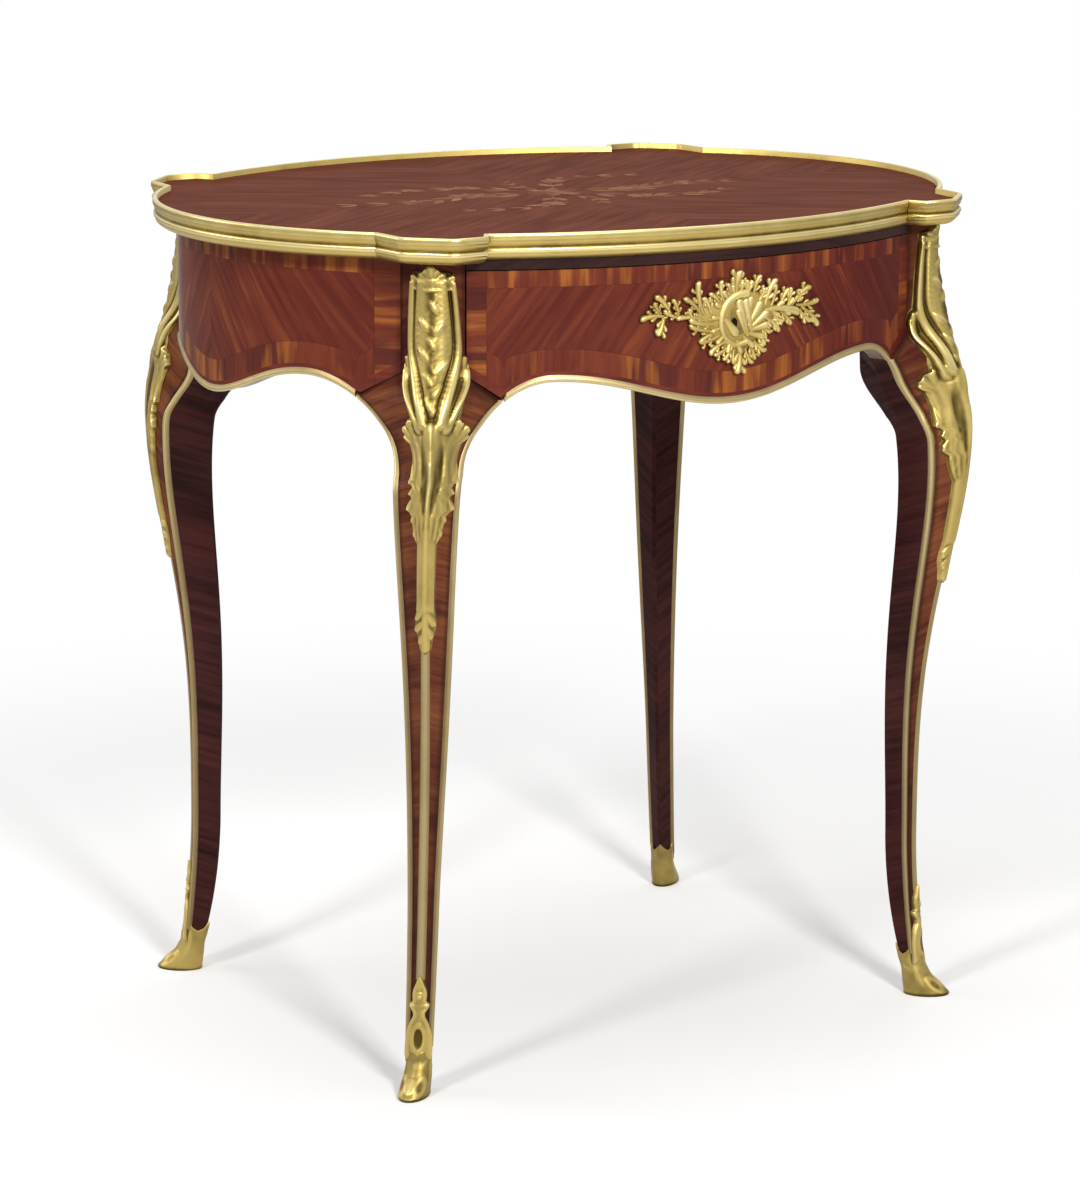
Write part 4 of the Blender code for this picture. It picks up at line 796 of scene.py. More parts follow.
def panel_relief(across, down, half, widening):
    """The framed panel: a wavy ground between the ribs, cornice and ledge at its head, and the trail."""
    side = np.abs(across)
    weave = np.sin(across * 2.3 + 1.9 * np.sin(down * 0.9))
    ground = 0.22 * weave * np.sin(down * 2.1 + 1.7 * np.sin(across))
    inner = smooth_path(down, RIB_PATH) - 3.2 - 1.0 * widening
    filling = np.clip(0.42 * side - 0.55, 0.0, 2.7)
    panel = 0.4 + (1.3 + filling + ground) * ease((inner - side) / 2.6) * within(down, *FRAME_STRETCH)
    ledge = 4.0 * dome(down - LEDGE_DOWN, 1.7) * (side < half - 3)
    cornice = np.maximum(3.3 * dome(down - CORNICE_DOWN, 4.2), 2.9 * within(down, *CORNICE_STRETCH))
    trail = TRAIL_SHARE * soften(trail_relief(across, down), TRAIL_SOFTENING) * within(down, *TRAIL_STRETCH)
    return np.maximum.reduce([panel + trail * ease((inner + 0.6 - side) / 2.2), ledge, cornice])


def chute_relief(across, down, half):
    """Height of the chute in millimetres: the highest of its forms, easing to a thin edge.

    The forms are crest, panel, ribs and outer straps that meet in a knot, an acanthus leaf with two hollows
    and a rib, lobes at its sides, a strip below it and the drop at the end."""
    side = np.abs(across)
    share = np.clip(side / half, 0.0, 1.0)
    edge = 0.9 + 1.1 * ease((1 - share) * half / 2.0)
    in_leaf = within(down, *LEAF_STRETCH)
    widening = rises(down, *WIDENING)
    rib = strap(side, down, RIB_PATH, 2.5 + 0.9 * widening, 5.0 + 0.5 * widening)
    panel = panel_relief(across, down, half, widening)
    outer_strap = strap(side, down, OUTER_PATH, 2.7, 5.0)
    from_knot = down - KNOT_DOWN
    from_knot = np.where(from_knot > 0, KNOT_TAPER * from_knot, from_knot)
    knot = 5.4 * bump(across, from_knot, (0, 0), KNOT_REACH) * (0.84 + 0.16 * np.cos(across * 1.5))
    hollow = HOLLOW_DEPTH * bump(side - hollow_place(down), down, (0, HOLLOW_DOWN), HOLLOW_REACH)
    blade = (3.4 * dome(share, 1.15) - hollow + 0.42 * np.cos(7.5 * np.pi * share)) * in_leaf
    leaf_rib = 4.4 * dome(side, 1.9) * rises(down, *LEAF_RIB_FROM) * in_leaf
    leaf_lobes = lobed(side, down, LEAF_LOBES) * (down < LOBES_END)
    wide = np.minimum(1.03 * half, 3.0 + 4.2 * rises(down, *STRIP_WIDENING) + 2 * rises(down, *STRIP_FOOT))
    strip = (0.4 + 3.4 * dome(side, wide) ** 0.8 + 0.6 * dome(side, 1.8)) * within(down, *STRIP_STRETCH)
    drop = (2.2 * dome(share, 1.1) + 0.5 * lobed(across, down, DROP_LOBES)) * rises(down, *DROP_FROM)
    form = np.maximum.reduce([
        lobed(side, down, CREST_LOBES), rib, panel, outer_strap, lobed(side, down, CURL_LOBES), knot, blade,
        leaf_rib, strip, leaf_lobes, drop])
    return soften(form, CHUTE_SOFTENING) * ease((1 - share) * half / 1.4) + edge * 0.8


SLOPE_PASSES = 300
ARRIS_PASSES = 90
MOUNT_SINK = 0.0004
TURN_OUT = 0.012


def steady(values, passes):
    """Columns of values smoothed along themselves: each averaged with its neighbours, many times."""
    for _ in range(passes):
        padded = np.pad(values, ((1, 1), (0, 0)), "reflect", reflect_type="odd")
        values = (padded[:-2] + 2 * values + padded[2:]) / 4
    return values


def arris_mount(z, across, height, back_points):
    """Bend a height map (rows down, columns across, metres) over the arris of the leg as closed rings.

    A point at q across stands at arris + q sideways - |q| tan(slope of the face) outward, pushed out by
    its height along a direction that turns from outward on the arris to the face's normal at the wings."""
    arris, long_edge, _, _, _, end_edge = leg_section(z)

    def slope(edge):
        """How steeply a face falls away from the arris: its drop over its run sideways."""
        way = edge - arris
        return np.clip(-(way @ OUTWARD) / np.abs(way @ SIDEWAYS), 0.05, 2.0)[:, None]

    slopes = [steady(slope(edge), SLOPE_PASSES) for edge in (long_edge, end_edge)]
    arris = steady(arris, ARRIS_PASSES)

    def place(q, proud):
        """Points at q across the arris and proud of the leg, by the formula above."""
        tangent = np.where(q > 0, *slopes)
        flat = ARRIS_FLAT * tangent / np.sqrt(1 + tangent ** 2)
        depth = np.hypot(q * tangent, 0.7 * flat)
        lean = np.clip(q / TURN_OUT, -1.0, 1.0) * np.arctan(tangent)
        out = -depth + proud * np.cos(lean)
        side = q + proud * np.sin(lean)
        plan = arris[:, None] + out[..., None] * OUTWARD + side[..., None] * SIDEWAYS
        heights = np.broadcast_to(z[:, None, None], (*q.shape, 1))
        return np.concatenate([plan, heights], axis=2)

    share = np.linspace(0.0, 1.0, back_points)
    behind = across[:, -1:] * (1 - share) + across[:, :1] * share
    back = place(behind, np.full(behind.shape, -MOUNT_SINK))
    return np.concatenate([place(across, height), back], axis=1)


CHUTE_ROWS = 560
CHUTE_COLUMNS = 96
BACK_POINTS = 6
# How a casting's tone follows its relief: millimetres from dark to bright, and how much darker it starts
CHUTE_TONE_REACH = 4.0
BUD_TONE_REACH = 3.4
TONE_DROP = 0.10
HOLLOW_SHADE = 0.13
HOLLOW_SHADE_REACH = (3.4, 35.0)


def outline_map(places, outline, columns):
    """A height map's half widths, places across (closer together at the rims, by a sine) and along."""
    table = np.array(outline)
    half = np.interp(places / MM, table[:, 0], table[:, 1])[:, None]
    across = half * np.sin(np.linspace(-np.pi / 2, np.pi / 2, columns))
    return half, across, (places / MM)[:, None] + 0 * across


def casting_tone(height, reach, shade):
    """How burnished a casting is: its relief less a shade, and dark on the rows of its back."""
    tone = np.clip(relief_of(height, reach) - TONE_DROP - shade, 0.0, 1.0)
    return np.concatenate([tone, np.zeros((len(height), BACK_POINTS))], axis=1)


def make_chutes(gilt):
    """The gilt corner mounts: the chute's relief bent over each knee."""
    down = np.linspace(0.0, CHUTE_LENGTH, CHUTE_ROWS)
    half, across, fall = outline_map(down, CHUTE_OUTLINE, CHUTE_COLUMNS)
    height = chute_relief(across, fall, half)
    from_hollow = np.abs(across) - hollow_place(fall)
    shade = HOLLOW_SHADE * bump(from_hollow, fall, (0, HOLLOW_DOWN), HOLLOW_SHADE_REACH)
    relief = casting_tone(height, CHUTE_TONE_REACH, shade)
    points = arris_mount(CHUTE_TOP - down, across * MM, height * MM, BACK_POINTS)
    for corner, signs in CORNERS.items():
        add_piece("gilt_chute_" + corner, [(points * (*signs, 1), {"relief": relief})], gilt, "table",
                  ["chute_" + corner], CASTING_CREASE)


# Half width of the bud that rises from the sabot, in millimetres, at heights over the floor
BUD_OUTLINE = (
    (28, 11.5), (44, 11.4), (52, 11.0), (57, 10.0), (61, 9.0), (65.5, 7.4), (70, 5.4), (73.4, 5.4),
    (76, 7.0), (78.5, 8.4), (81, 8.4), (83.5, 6.0), (86, 6.2), (90, 6.4), (94, 5.8), (99, 4.0), (103, 2.8),
    (106.3, 1.6))
# Heights of the bud's forms over the floor
DISH_UP = 50
COLLAR_UP = 79.5
BERRY_UP = 88
TIP_UP = 97
BUD_SOFTENING = 2
BUD_SHADE = 0.34
BUD_SHADE_REACH = (3.6, 10.5)


def bud_relief(across, z, half):
    """Height of the bud in millimetres: the highest of its tongue, knobs, collar, berry and tip.

    The tongue has raised borders and an oval hollow with a rim; the knobs, berry and tip are oval swells."""
    side = np.abs(across)
    share = np.clip(side / half, 0.0, 1.0)
    tongue = 2.8 + 0.6 * dome(side - half + 1.8, 1.8) - 1.2 * ease((37 - z) / 8)
    hollow = 1.6 * bump(across, z, (0, DISH_UP), (3.4, 9.5))
    rim = 0.5 * dome(np.hypot(across / 4.8, (z - DISH_UP) / 11.5) - 1, 0.35)
    knobs = 4.2 * bump(side, z, (5.6, COLLAR_UP), (3.2, 3.2))
    collar = 3.0 * dome(z - COLLAR_UP, 3.4)
    berry = 4.2 * bump(across, z, (0, BERRY_UP), (4.8, 6.4))
    berry = berry - 0.5 * dome(np.hypot(across, z - BERRY_UP + 1) - 2.6, 1.0)
    tip = 3.4 * bump(across, z, (0, TIP_UP), (3.6, 10.0))
    form = np.maximum.reduce([tongue - hollow + rim, knobs, collar, berry, tip])
    return soften(form, BUD_SOFTENING) * ease((1 - share) * half / 1.2) * ease((z - 27) / 6) + 0.6


# Sections of the shoe: share of its height, length, width and shift against the sole's own
SHOE_SECTIONS = (
    (0.00, 0.96, 0.90, 0.0), (0.03, 1.00, 0.95, 0.0), (0.07, 0.985, 0.95, -0.006),
    (0.13, 0.925, 0.94, -0.045), (0.25, 0.81, 0.92, -0.12), (0.36, 0.70, 0.90, -0.19),
    (0.46, 0.63, 0.87, -0.235), (0.56, 0.585, 0.84, -0.27))
# Top of the shoe's wall in millimetres, by degrees round from the toe
SHOE_TOP = (
    (0, 39.0), (30, 40.0), (55, 44.5), (72, 48.5), (98, 42.0), (124, 39.0), (150, 41.5), (180, 47.5))
# Rings of the wall over the sections: share of the way up from the leg's bottom
WALL_SHARES = (0.66, 0.8, 0.93)
WALL_LIP = 0.8
INSIDE_SHARES = (1.0, 0.6)
INSIDE_GAP = 0.0002
SHOE_ROWS = 90
TOE_FILLING = 0.0020
TOE_FILLING_TO = (55, 45)
WALL_ROUNDING = 3
WALL_FACETED = 0.35
WALL_ROUND = 0.65
VOLUTE_PROUD = 0.8
FOLD_PROUD = 0.5
SHOE_TONE = 0.31
INSIDE_TONE = 0.2
BUD_ROWS = 130
BUD_COLUMNS = 48


def blend_rows(controls, rows):
    """Rows between control rings by a Catmull-Rom curve through them."""
    at = np.linspace(0.0, len(controls) - 1.001, rows)
    base = at.astype(int)
    t = (at - base)[:, None, None]
    last = len(controls) - 1
    a, b, c, d = (controls[np.clip(base + i, 0, last)] for i in (-1, 0, 1, 2))
    return b + t / 2 * (c - a + t * (2 * a - 5 * b + 4 * c - d + t * (3 * b - a - 3 * c + d)))


def make_sabots(gilt):
    """The cast shoes: oval sole sections that rise into a wall round the leg, with volutes and a bud.

    A volute is a half-round ring about its coil's middle with a ball beside it, pushed out from the shoe."""
    count = 10 * LEG_FACE_POINTS
    turn = (np.arange(count) + LEG_FACE_POINTS / 2) * 2 * np.pi / count
    from_toe = np.degrees(np.pi - np.abs(turn - np.pi))
    top = MM * np.interp(from_toe, *np.array(SHOE_TOP).T)

    def wall(share, distance, toe=0.0):
        """A ring a distance off the leg, its corners rounded by averaging and its toe filled out."""
        z = LEG_BOTTOM + FIT_GAP + share * (top - LEG_BOTTOM)
        rings = inset_outline(leg_rings(z), -distance)
        turns = range(-WALL_ROUNDING, WALL_ROUNDING + 1)
        soft = sum(np.roll(rings, k, axis=1) for k in turns) / len(turns)
        plan = (WALL_FACETED * rings + WALL_ROUND * soft)[np.arange(count), np.arange(count)]
        full_to, run = TOE_FILLING_TO
        plan = plan + toe * ease((full_to - from_toe) / run)[:, None] * TOEWARD
        return np.column_stack([plan, z])

    sole = ARRIS_TOP + SOLE_REACH * OUTWARD + SOLE_DRIFT * SIDEWAYS
    along = np.cos(turn)[:, None] * TOEWARD * SOLE_LENGTH / 2
    over = np.sin(turn)[:, None] * TOE_SIDE * SOLE_WIDTH / 2
    rings = []
    for share, length, width, shift in SHOE_SECTIONS:
        plan = sole + shift * SOLE_LENGTH * TOEWARD + length * along + width * over
        rings.append(np.column_stack([plan, np.full(count, share * SABOT_HEIGHT)]))
    rings += [wall(share, SABOT_WALL, TOE_FILLING) for share in WALL_SHARES]
    rings += [wall(1.0, WALL_LIP * SABOT_WALL, WALL_LIP * TOE_FILLING)]
    outside = blend_rows(np.array(rings), SHOE_ROWS)
    outside[..., 2] = np.clip(outside[..., 2], 0.0, None)
    level = outside[..., 2] / SABOT_HEIGHT
    ahead = np.radians(from_toe)
    coil = np.hypot((ahead - 0.75) / 0.34, (level - 0.24) / 0.13)
    ball = dome(np.hypot(ahead / 0.45, (level - 0.26) / 0.13), 1.0)
    volute = 0.5 * dome(coil - 1.0, 0.45) - 0.3 * dome(coil, 0.5) + 1.5 * ball
    fold = dome(np.hypot((ahead - 1.5) / 0.22, (level - 0.55) / 0.35), 1.0)
    centre = outside[..., :2].mean(axis=1, keepdims=True)
    away = unit(outside[..., :2] - centre)
    outside[..., :2] += (MM * (VOLUTE_PROUD * volute + FOLD_PROUD * fold))[..., None] * away
    inside = np.array([wall(share, INSIDE_GAP) for share in INSIDE_SHARES])
    shoe = np.concatenate([outside, inside])
    # Darker over the lowest tenth of the shoe: painted shade where it meets the floor
    painted_sole_shade = ease((0.09 - level) / 0.09)
    tone = SHOE_TONE + 0.30 * volute + 0.2 * fold - 0.08 * dome(coil - 0.55, 0.3) - 0.3 * painted_sole_shade
    shoe_tone = np.concatenate([np.clip(tone, 0.0, 1.0), np.full((len(inside), count), INSIDE_TONE)])
    z = np.linspace(BUD_LOW, BUD_TOP, BUD_ROWS)
    half, across, rise = outline_map(z, BUD_OUTLINE, BUD_COLUMNS)
    height = bud_relief(across, rise, half)
    bud = arris_mount(z, across * MM, height * MM, BACK_POINTS)
    shade = BUD_SHADE * bump(across, rise, (0, DISH_UP), BUD_SHADE_REACH)
    bud_tone = casting_tone(height, BUD_TONE_REACH, shade)
    for corner, signs in CORNERS.items():
        shells = [(shoe * (*signs, 1), {"relief": shoe_tone}), (bud * (*signs, 1), {"relief": bud_tone})]
        add_piece("gilt_sabot_" + corner, shells, gilt, "table", ["sabot_" + corner],
                  CASTING_CREASE)


# Frieze

FACE_ROWS = 44
SEAT_RUN_OUT = 0.92
SEAT_RUN = 0.003


def frieze_board(place, edge, joint_at, stations, trim, inset, top, pocket=None):
    """A curved board as closed rings: face from the top down to the fillet's seat, seat, underside and back.

    The seat is as wide as the fillet as far as the joint with the leg, and runs out to a hairline past it.
    Each point carries its run along the face, its height and whether it is on the face (veneer), and its
    distances to the lower edge, the nearer end and the top (edges).  A pocket (half width, depth, drop) is
    let into the back of the rings inside its half width."""
    low = edge(stations)
    at = stations * (1 - trim / abs(stations[0]))
    share = np.linspace(0.0, 1.0, FACE_ROWS)
    seat = FILLET_WIDTH * (1 - SEAT_RUN_OUT * ease((np.abs(stations) - joint_at) / SEAT_RUN))[:, None]
    face_z = top + (low[:, None] + seat - top) * share
    lower = low[:, None]
    level = np.full_like(lower, top)
    behind = np.full_like(lower, inset + APRON_THICKNESS)
    floor = np.full_like(lower, top - 0.5 * APRON_THICKNESS)
    upper = behind
    if pocket is not None:
        half, depth, drop = pocket
        upper = np.where(np.abs(at)[:, None] < half, behind - depth, behind)
        floor = np.full_like(lower, top - drop)
    face = np.full_like(face_z, inset)
    depths = np.concatenate([face, inset + seat, behind, behind, upper, upper], axis=1)
    heights = np.concatenate([face_z, lower, lower, floor, floor, level], axis=1)
    points = place(np.broadcast_to(at[:, None], heights.shape), depths, heights)
    run = np.broadcast_to(at[:, None], heights.shape)
    slope = np.gradient(low, stations)[:, None]
    to_low = (heights - lower) / np.sqrt(1 + np.clip(slope, -2.0, 2.0) ** 2)
    edges = np.stack([to_low, np.abs(stations[0]) - np.abs(run), level - heights], axis=2)
    shown = np.broadcast_to(np.arange(heights.shape[1]) <= FACE_ROWS, heights.shape).astype(float)
    return points, {"veneer": np.stack([run, heights, shown], axis=2), "edges": edges}


def frieze_fillet(place, edge, stations, trim, inset):
    """The gilt fillet along the lower edge of a frieze board: the edge bead in the board's own section."""
    at = stations * (1 - trim / abs(stations[0]))
    corner = np.stack([np.full_like(at, inset), edge(stations)], axis=1)
    up = np.broadcast_to([0.0, 1.0], corner.shape)
    inward = np.broadcast_to([1.0, 0.0], corner.shape)
    section = bead_rings(corner, up, inward, np.full((len(at), 1), FILLET_WIDTH))
    points = place(np.broadcast_to(at[:, None], section.shape[:2]), section[..., 0], section[..., 1])
    return points, {"relief": np.broadcast_to(BEAD_RELIEF, section.shape[:2])}


def turned(shell, signs):
    """A shell mirrored to another side by its signs along X and Y."""
    return shell[0] * (*signs, 1), shell[1]


LOCK_POCKET = (LOCK_HALF_WIDTH, LOCK_LET_IN, LOCK_DROP)
POCKET_WALL = 0.00005
POCKET_SIDES = (
    -LOCK_HALF_WIDTH, -LOCK_HALF_WIDTH + POCKET_WALL, LOCK_HALF_WIDTH - POCKET_WALL, LOCK_HALF_WIDTH)
LONG_STATIONS = 181
END_STATIONS = 161
LONG_FILLET_STATIONS = 161
END_FILLET_STATIONS = 141
# The fixed aprons run a hair into the posts, so that no light shows in the joint
APRON_TRIM = -0.0002


def make_frieze(wood, gilt):
    """The aprons, the drawer front and the fillets along their lower edges."""
    long_at = np.linspace(-POST_LONG_X, POST_LONG_X, LONG_STATIONS)
    long_at = np.sort(np.concatenate([long_at, POCKET_SIDES]))
    end_at = np.linspace(-POST_END_Y, POST_END_Y, END_STATIONS)
    long_fillet = np.linspace(-LONG_JOINT_AT, LONG_JOINT_AT, LONG_FILLET_STATIONS)
    end_fillet = np.linspace(-END_JOINT_AT, END_JOINT_AT, END_FILLET_STATIONS)
    long_side = (long_point, long_lower_edge)
    end_side = (end_point, end_lower_edge)
    boards = {
        "back": (long_side, long_at, long_fillet, LONG_INSET, (1, 1)),
        "right": (end_side, end_at, end_fillet, END_INSET, (1, 1)),
        "left": (end_side, end_at, end_fillet, END_INSET, (-1, 1))}
    for side, (form, stations, fillet_at, inset, signs) in boards.items():
        board = frieze_board(*form, fillet_at[-1], stations, APRON_TRIM, inset, FRAME_TOP)
        add_piece("veneered_apron_" + side, [turned(board, signs)], wood, "table",
                  ["apron_" + side])
        fillet = frieze_fillet(*form, fillet_at, APRON_TRIM, inset)
        add_piece("gilt_apron_fillet_" + side, [turned(fillet, signs)], gilt, "table",
                  ["apron_fillet_" + side], FILLET_CREASE)
    front = frieze_board(*long_side, LONG_JOINT_AT, long_at, DRAWER_CLEARANCE, LONG_INSET, DRAWER_TOP,
                         LOCK_POCKET)
    add_piece("veneered_drawer_front", [turned(front, (1, -1))], wood, "drawer",
              ["drawer_front"])
    fillet = frieze_fillet(*long_side, long_fillet, DRAWER_CLEARANCE, LONG_INSET)
    add_piece("gilt_drawer_fillet", [turned(fillet, (1, -1))], gilt, "drawer",
              ["drawer_fillet"], FILLET_CREASE)


FACING_STATIONS = 121
FACING_GAP = 0.0004
FACING_PROUD = 0.0002
FACING_LET_IN = 0.0010


def make_rail_facing(wood):
    """A thin curved facing of veneer on the rail over the drawer: a flat section along the long side."""
    reach = POST_LONG_X - FACING_GAP
    x = np.linspace(-reach, reach, FACING_STATIONS)[:, None]
    depths = LONG_INSET + np.array([-FACING_PROUD, -FACING_PROUD, FACING_LET_IN, FACING_LET_IN])
    low = FRAME_TOP - TOP_RAIL_HEIGHT
    heights = np.array([low, FRAME_TOP, FRAME_TOP, low])
    points = long_point(x, depths, heights) * (1, -1, 1)
    add_piece("rail_facing", [(points, {})], wood, "table")


# Leafy work: lobes and stems of the key plate, leaves and stems of the top's inlay, each in a flat plane

LEAF_ROWS = 16
# Angles round a leaf's section: the half-round top, then the flat bottom
LEAF_RING = np.concatenate([np.linspace(0.0, np.pi, 9), np.linspace(np.pi, 2 * np.pi, 5)[1:-1]])
LEAF_RISE = np.where(LEAF_RING <= np.pi, np.sin(LEAF_RING), 0.0)
LEAF_FULLNESS = 0.8
LEAF_TIPS = (0.03, 0.97)
LEAF_NOTCHES = 4
CLUB_SPACING = 0.7
CLUB_ROOT = 0.55
CLUB_GROWTH = 0.45
CLUB_TIP = 1.02
STEM_ROWS = 40
STEM_PASSES = 6
STEM_TAPER = 0.55


def laid_along(x, z, heading, out, height):
    """Rings of a leaf or lobe: points out to either side of a middle line (x, z) with its heading."""
    over = x[:, None] - out * np.sin(heading)[:, None]
    up = z[:, None] + out * np.cos(heading)[:, None]
    return np.stack([over, up, height], axis=2)


def leaf(start, angle, length, width, thick, bend=0.0, lobes=0.0):
    """A leaf in a plane as (along x, along z, height): a domed blade round a bent middle line.

    Its half width is width times the sine of pi t to the fullness, itself to the fullness, notched by a
    cosine wave of the size lobes; the top of each section is a half-round and the bottom flat."""
    t = np.linspace(0.0, 1.0, LEAF_ROWS)
    heading = angle + bend * t
    step = length / (LEAF_ROWS - 1)
    x = start[0] + np.concatenate([[0.0], np.cumsum(np.cos(heading[1:]) * step)])
    z = start[1] + np.concatenate([[0.0], np.cumsum(np.sin(heading[1:]) * step)])
    wide = np.sin(np.pi * np.clip(t, *LEAF_TIPS) ** LEAF_FULLNESS) ** LEAF_FULLNESS
    wide = wide * (1 + lobes * np.cos(2 * np.pi * LEAF_NOTCHES * t))
    out = width * wide[:, None] * np.cos(LEAF_RING)
    height = thick * np.sqrt(wide)[:, None] * LEAF_RISE
    return laid_along(x, z, heading, out, height)


def club(start, heading, length, half, thick, base, curl, bend=0.0):
    """A round-ended lobe in a plane: a half-round that widens to its tip, which ends in a half circle.

    It stands on its base, and the curl lifts it by the square of the way along."""
    t = np.linspace(0.0, 1.0, LEAF_ROWS) ** CLUB_SPACING
    turn = heading + bend * (t - 0.5)
    x = start[0] + length * t * np.cos(turn)
    z = start[1] + length * t * np.sin(turn)
    tip = half / length
    wide = (CLUB_ROOT + CLUB_GROWTH * t) * dome(np.clip(t - 1 + tip, 0.0, None), tip * CLUB_TIP)
    out = half * wide[:, None] * np.cos(LEAF_RING)
    height = base + curl * t[:, None] ** 2 + thick * np.sqrt(wide)[:, None] * LEAF_RISE
    return laid_along(x, z, turn, out, height)


def stem(path, radius, base=0.0):
    """A half-round stem in a plane along a row of points rounded by averaging, thinner at its end."""
    path = np.array(path, dtype=float)
    t = np.linspace(0.0, 1.0, STEM_ROWS)
    at = np.linspace(0.0, 1.0, len(path))
    middle = np.stack([np.interp(t, at, path[:, 0]), np.interp(t, at, path[:, 1])], axis=1)
    middle = rounded(middle, STEM_PASSES)
    way = unit(np.gradient(middle, axis=0))
    normal = np.stack([-way[:, 1], way[:, 0]], axis=1)
    size = radius * (1 - STEM_TAPER * t)[:, None]
    across = size * np.cos(LEAF_RING)
    height = base + size * np.clip(np.sin(LEAF_RING), 0.0, 1.0)
    return np.concatenate([middle[:, None] + across[..., None] * normal[:, None], height[..., None]], axis=2)


# Sprigs of the key plate in millimetres from its middle: from, to and half width
SPRIGS = (
    (-13, 1, -46, 1, 3.4), (-30, 4, -57, 12, 2.9), (-52, 8, -71, 13, 2.5), (-67, 10, -91, 12, 3.2),
    (-69, 10, -73, -7, 3.5), (-63, 12, -75, 31, 3.1), (-71, 13, -80, 22, 2.4), (-55, 9, -59, 26, 2.6),
    (-39, 4, -48, 15, 2.5), (-32, 8, -48, 28, 3.0), (-30, 9, -41, 38, 3.3), (-24, 10, -30, 26, 2.8),
    (-18, -5, -46, -3, 2.9), (-12, 14, -24, 30, 2.7), (-11, 19, -17, 38, 2.8), (-2, 22, -6, 36, 3.0),
    (3, 25, 3, 46, 4.4), (12, 24, 14, 37, 3.2), (21, 22, 25, 41, 3.0), (27, 17, 33, 28, 3.0),
    (33, 13, 41, 37, 3.5), (40, 11, 47, 30, 2.7), (50, 10, 57, 27, 3.0), (58, 10, 63, 26, 2.7),
    (64, 10, 83, 28, 3.4), (70, 12, 75, 22, 2.3), (32, 8, 72, 9, 4.6), (68, 10, 95, 8, 3.0),
    (75, 7, 97, -8, 3.2), (72, 6, 83, -8, 2.8), (50, 6, 64, -5, 3.0), (42, 5, 51, -5, 2.8),
    (33, 2, 50, -9, 3.2), (29, -4, 38, -13, 3.0), (25, -12, 34, -21, 3.0), (21, -17, 31, -29, 3.0),
    (16, -20, 24, -33, 2.8), (12, -23, 17, -38, 2.8),
    (6, -22, 6, -45, 4.2), (1, -23, -2, -36, 2.9), (-4, -19, -20, -29, 2.8), (-9, -16, -27, -23, 3.0),
    (-15, -10, -35, -17, 3.0), (-16, -7, -36, -11, 2.5), (-2, -20, -10, -33, 2.6))
SPRIG_HEIGHT = 0.0034
SPRIG_WIDTH = 0.95
SPRIG_BEND = 0.3
SPRIG_CURL = 0.0016
# Side lobes of a sprig: places along it, lean, and size against the sprig's own
SIDE_PLACES = (0.28, 0.60)
SIDE_SHIFT = 0.07
SIDE_LEAN = 0.8
SIDE_LENGTH = 2.2
SIDE_WIDTH = 0.72
SIDE_HEIGHT = 0.9
SIDE_CURL = 0.0014
ESCUTCHEON_Z = UNDERSIDE - ESCUTCHEON_DROP
PLATE_LIFT = 0.0005


def on_drawer(form):
    """Bend a form in the plane (x, z, height) onto the face of the drawer front."""
    points = long_point(form[..., 0], LONG_INSET - PLATE_LIFT - form[..., 2], ESCUTCHEON_Z + form[..., 1])
    return points * (1, -1, 1)


def sprig_forms():
    """Chunky leaves that swell to their tips, each bent a little, with two short lobes on either side."""
    forms = []
    for number, (x, z, tip_x, tip_z, wide) in enumerate(SPRIGS):
        start = np.array([x, z]) * MM
        way = np.array([tip_x - x, tip_z - z]) * MM
        length = np.linalg.norm(way)
        heading = math.atan2(way[1], way[0])
        bend = SPRIG_BEND if number % 2 else -SPRIG_BEND
        base = (0.4 + 0.5 * (number % 3)) * MM
        half = SPRIG_WIDTH * wide * MM
        forms.append(club(start, heading, length, half, SPRIG_HEIGHT, base, SPRIG_CURL, bend))
        for side in (-1, 1):
            for share in SIDE_PLACES:
                root = start + (share + SIDE_SHIFT * side) * way
                forms.append(club(root, heading + SIDE_LEAN * side, SIDE_LENGTH * wide * MM,
                                  SIDE_WIDTH * wide * MM, SIDE_HEIGHT * SPRIG_HEIGHT, base, SIDE_CURL,
                                  -SPRIG_BEND * side))
    return forms


CARTOUCHE_MIDDLE = (0.0036, 0.0026)
CARTOUCHE = (0.0074, 0.0118)
CARTOUCHE_TILT = math.radians(22.0)
# Rings of the dish and of the ground plate: share of the outline and height in millimetres
DISH_RINGS = (
    (0.02, 2.7), (0.4, 2.7), (0.7, 2.7), (0.85, 2.8), (0.95, 3.0), (1.05, 3.2), (1.16, 2.9), (1.2, 0.4),
    (0.02, 0.4))
PLATE_RINGS = ((0.02, 2.6), (0.5, 2.8), (0.9, 2.4), (1.0, 1.2), (1.0, 0.0), (0.02, 0.0))
OVAL_POINTS = 96
DISH_SHADE = 0.55
# Reach of the ground plate in millimetres by degrees round from +X
PLATE_REACH = (
    (0, 46), (25, 38), (60, 27), (90, 31), (120, 28), (155, 38), (178, 46), (200, 34), (235, 27), (270, 36),
    (305, 27), (340, 34), (360, 46))
# Scrolls round the dish in millimetres: path, radius and height of the foot
SCROLLS = (
    (((13, 25), (3, 25), (-7, 20), (-13, 10), (-14, -2), (-10, -12), (-2, -18), (6, -19)), 4.2, 2.2),
    (((13, -17), (2, -20), (-7, -17), (-12, -10)), 3.2, 2.0))
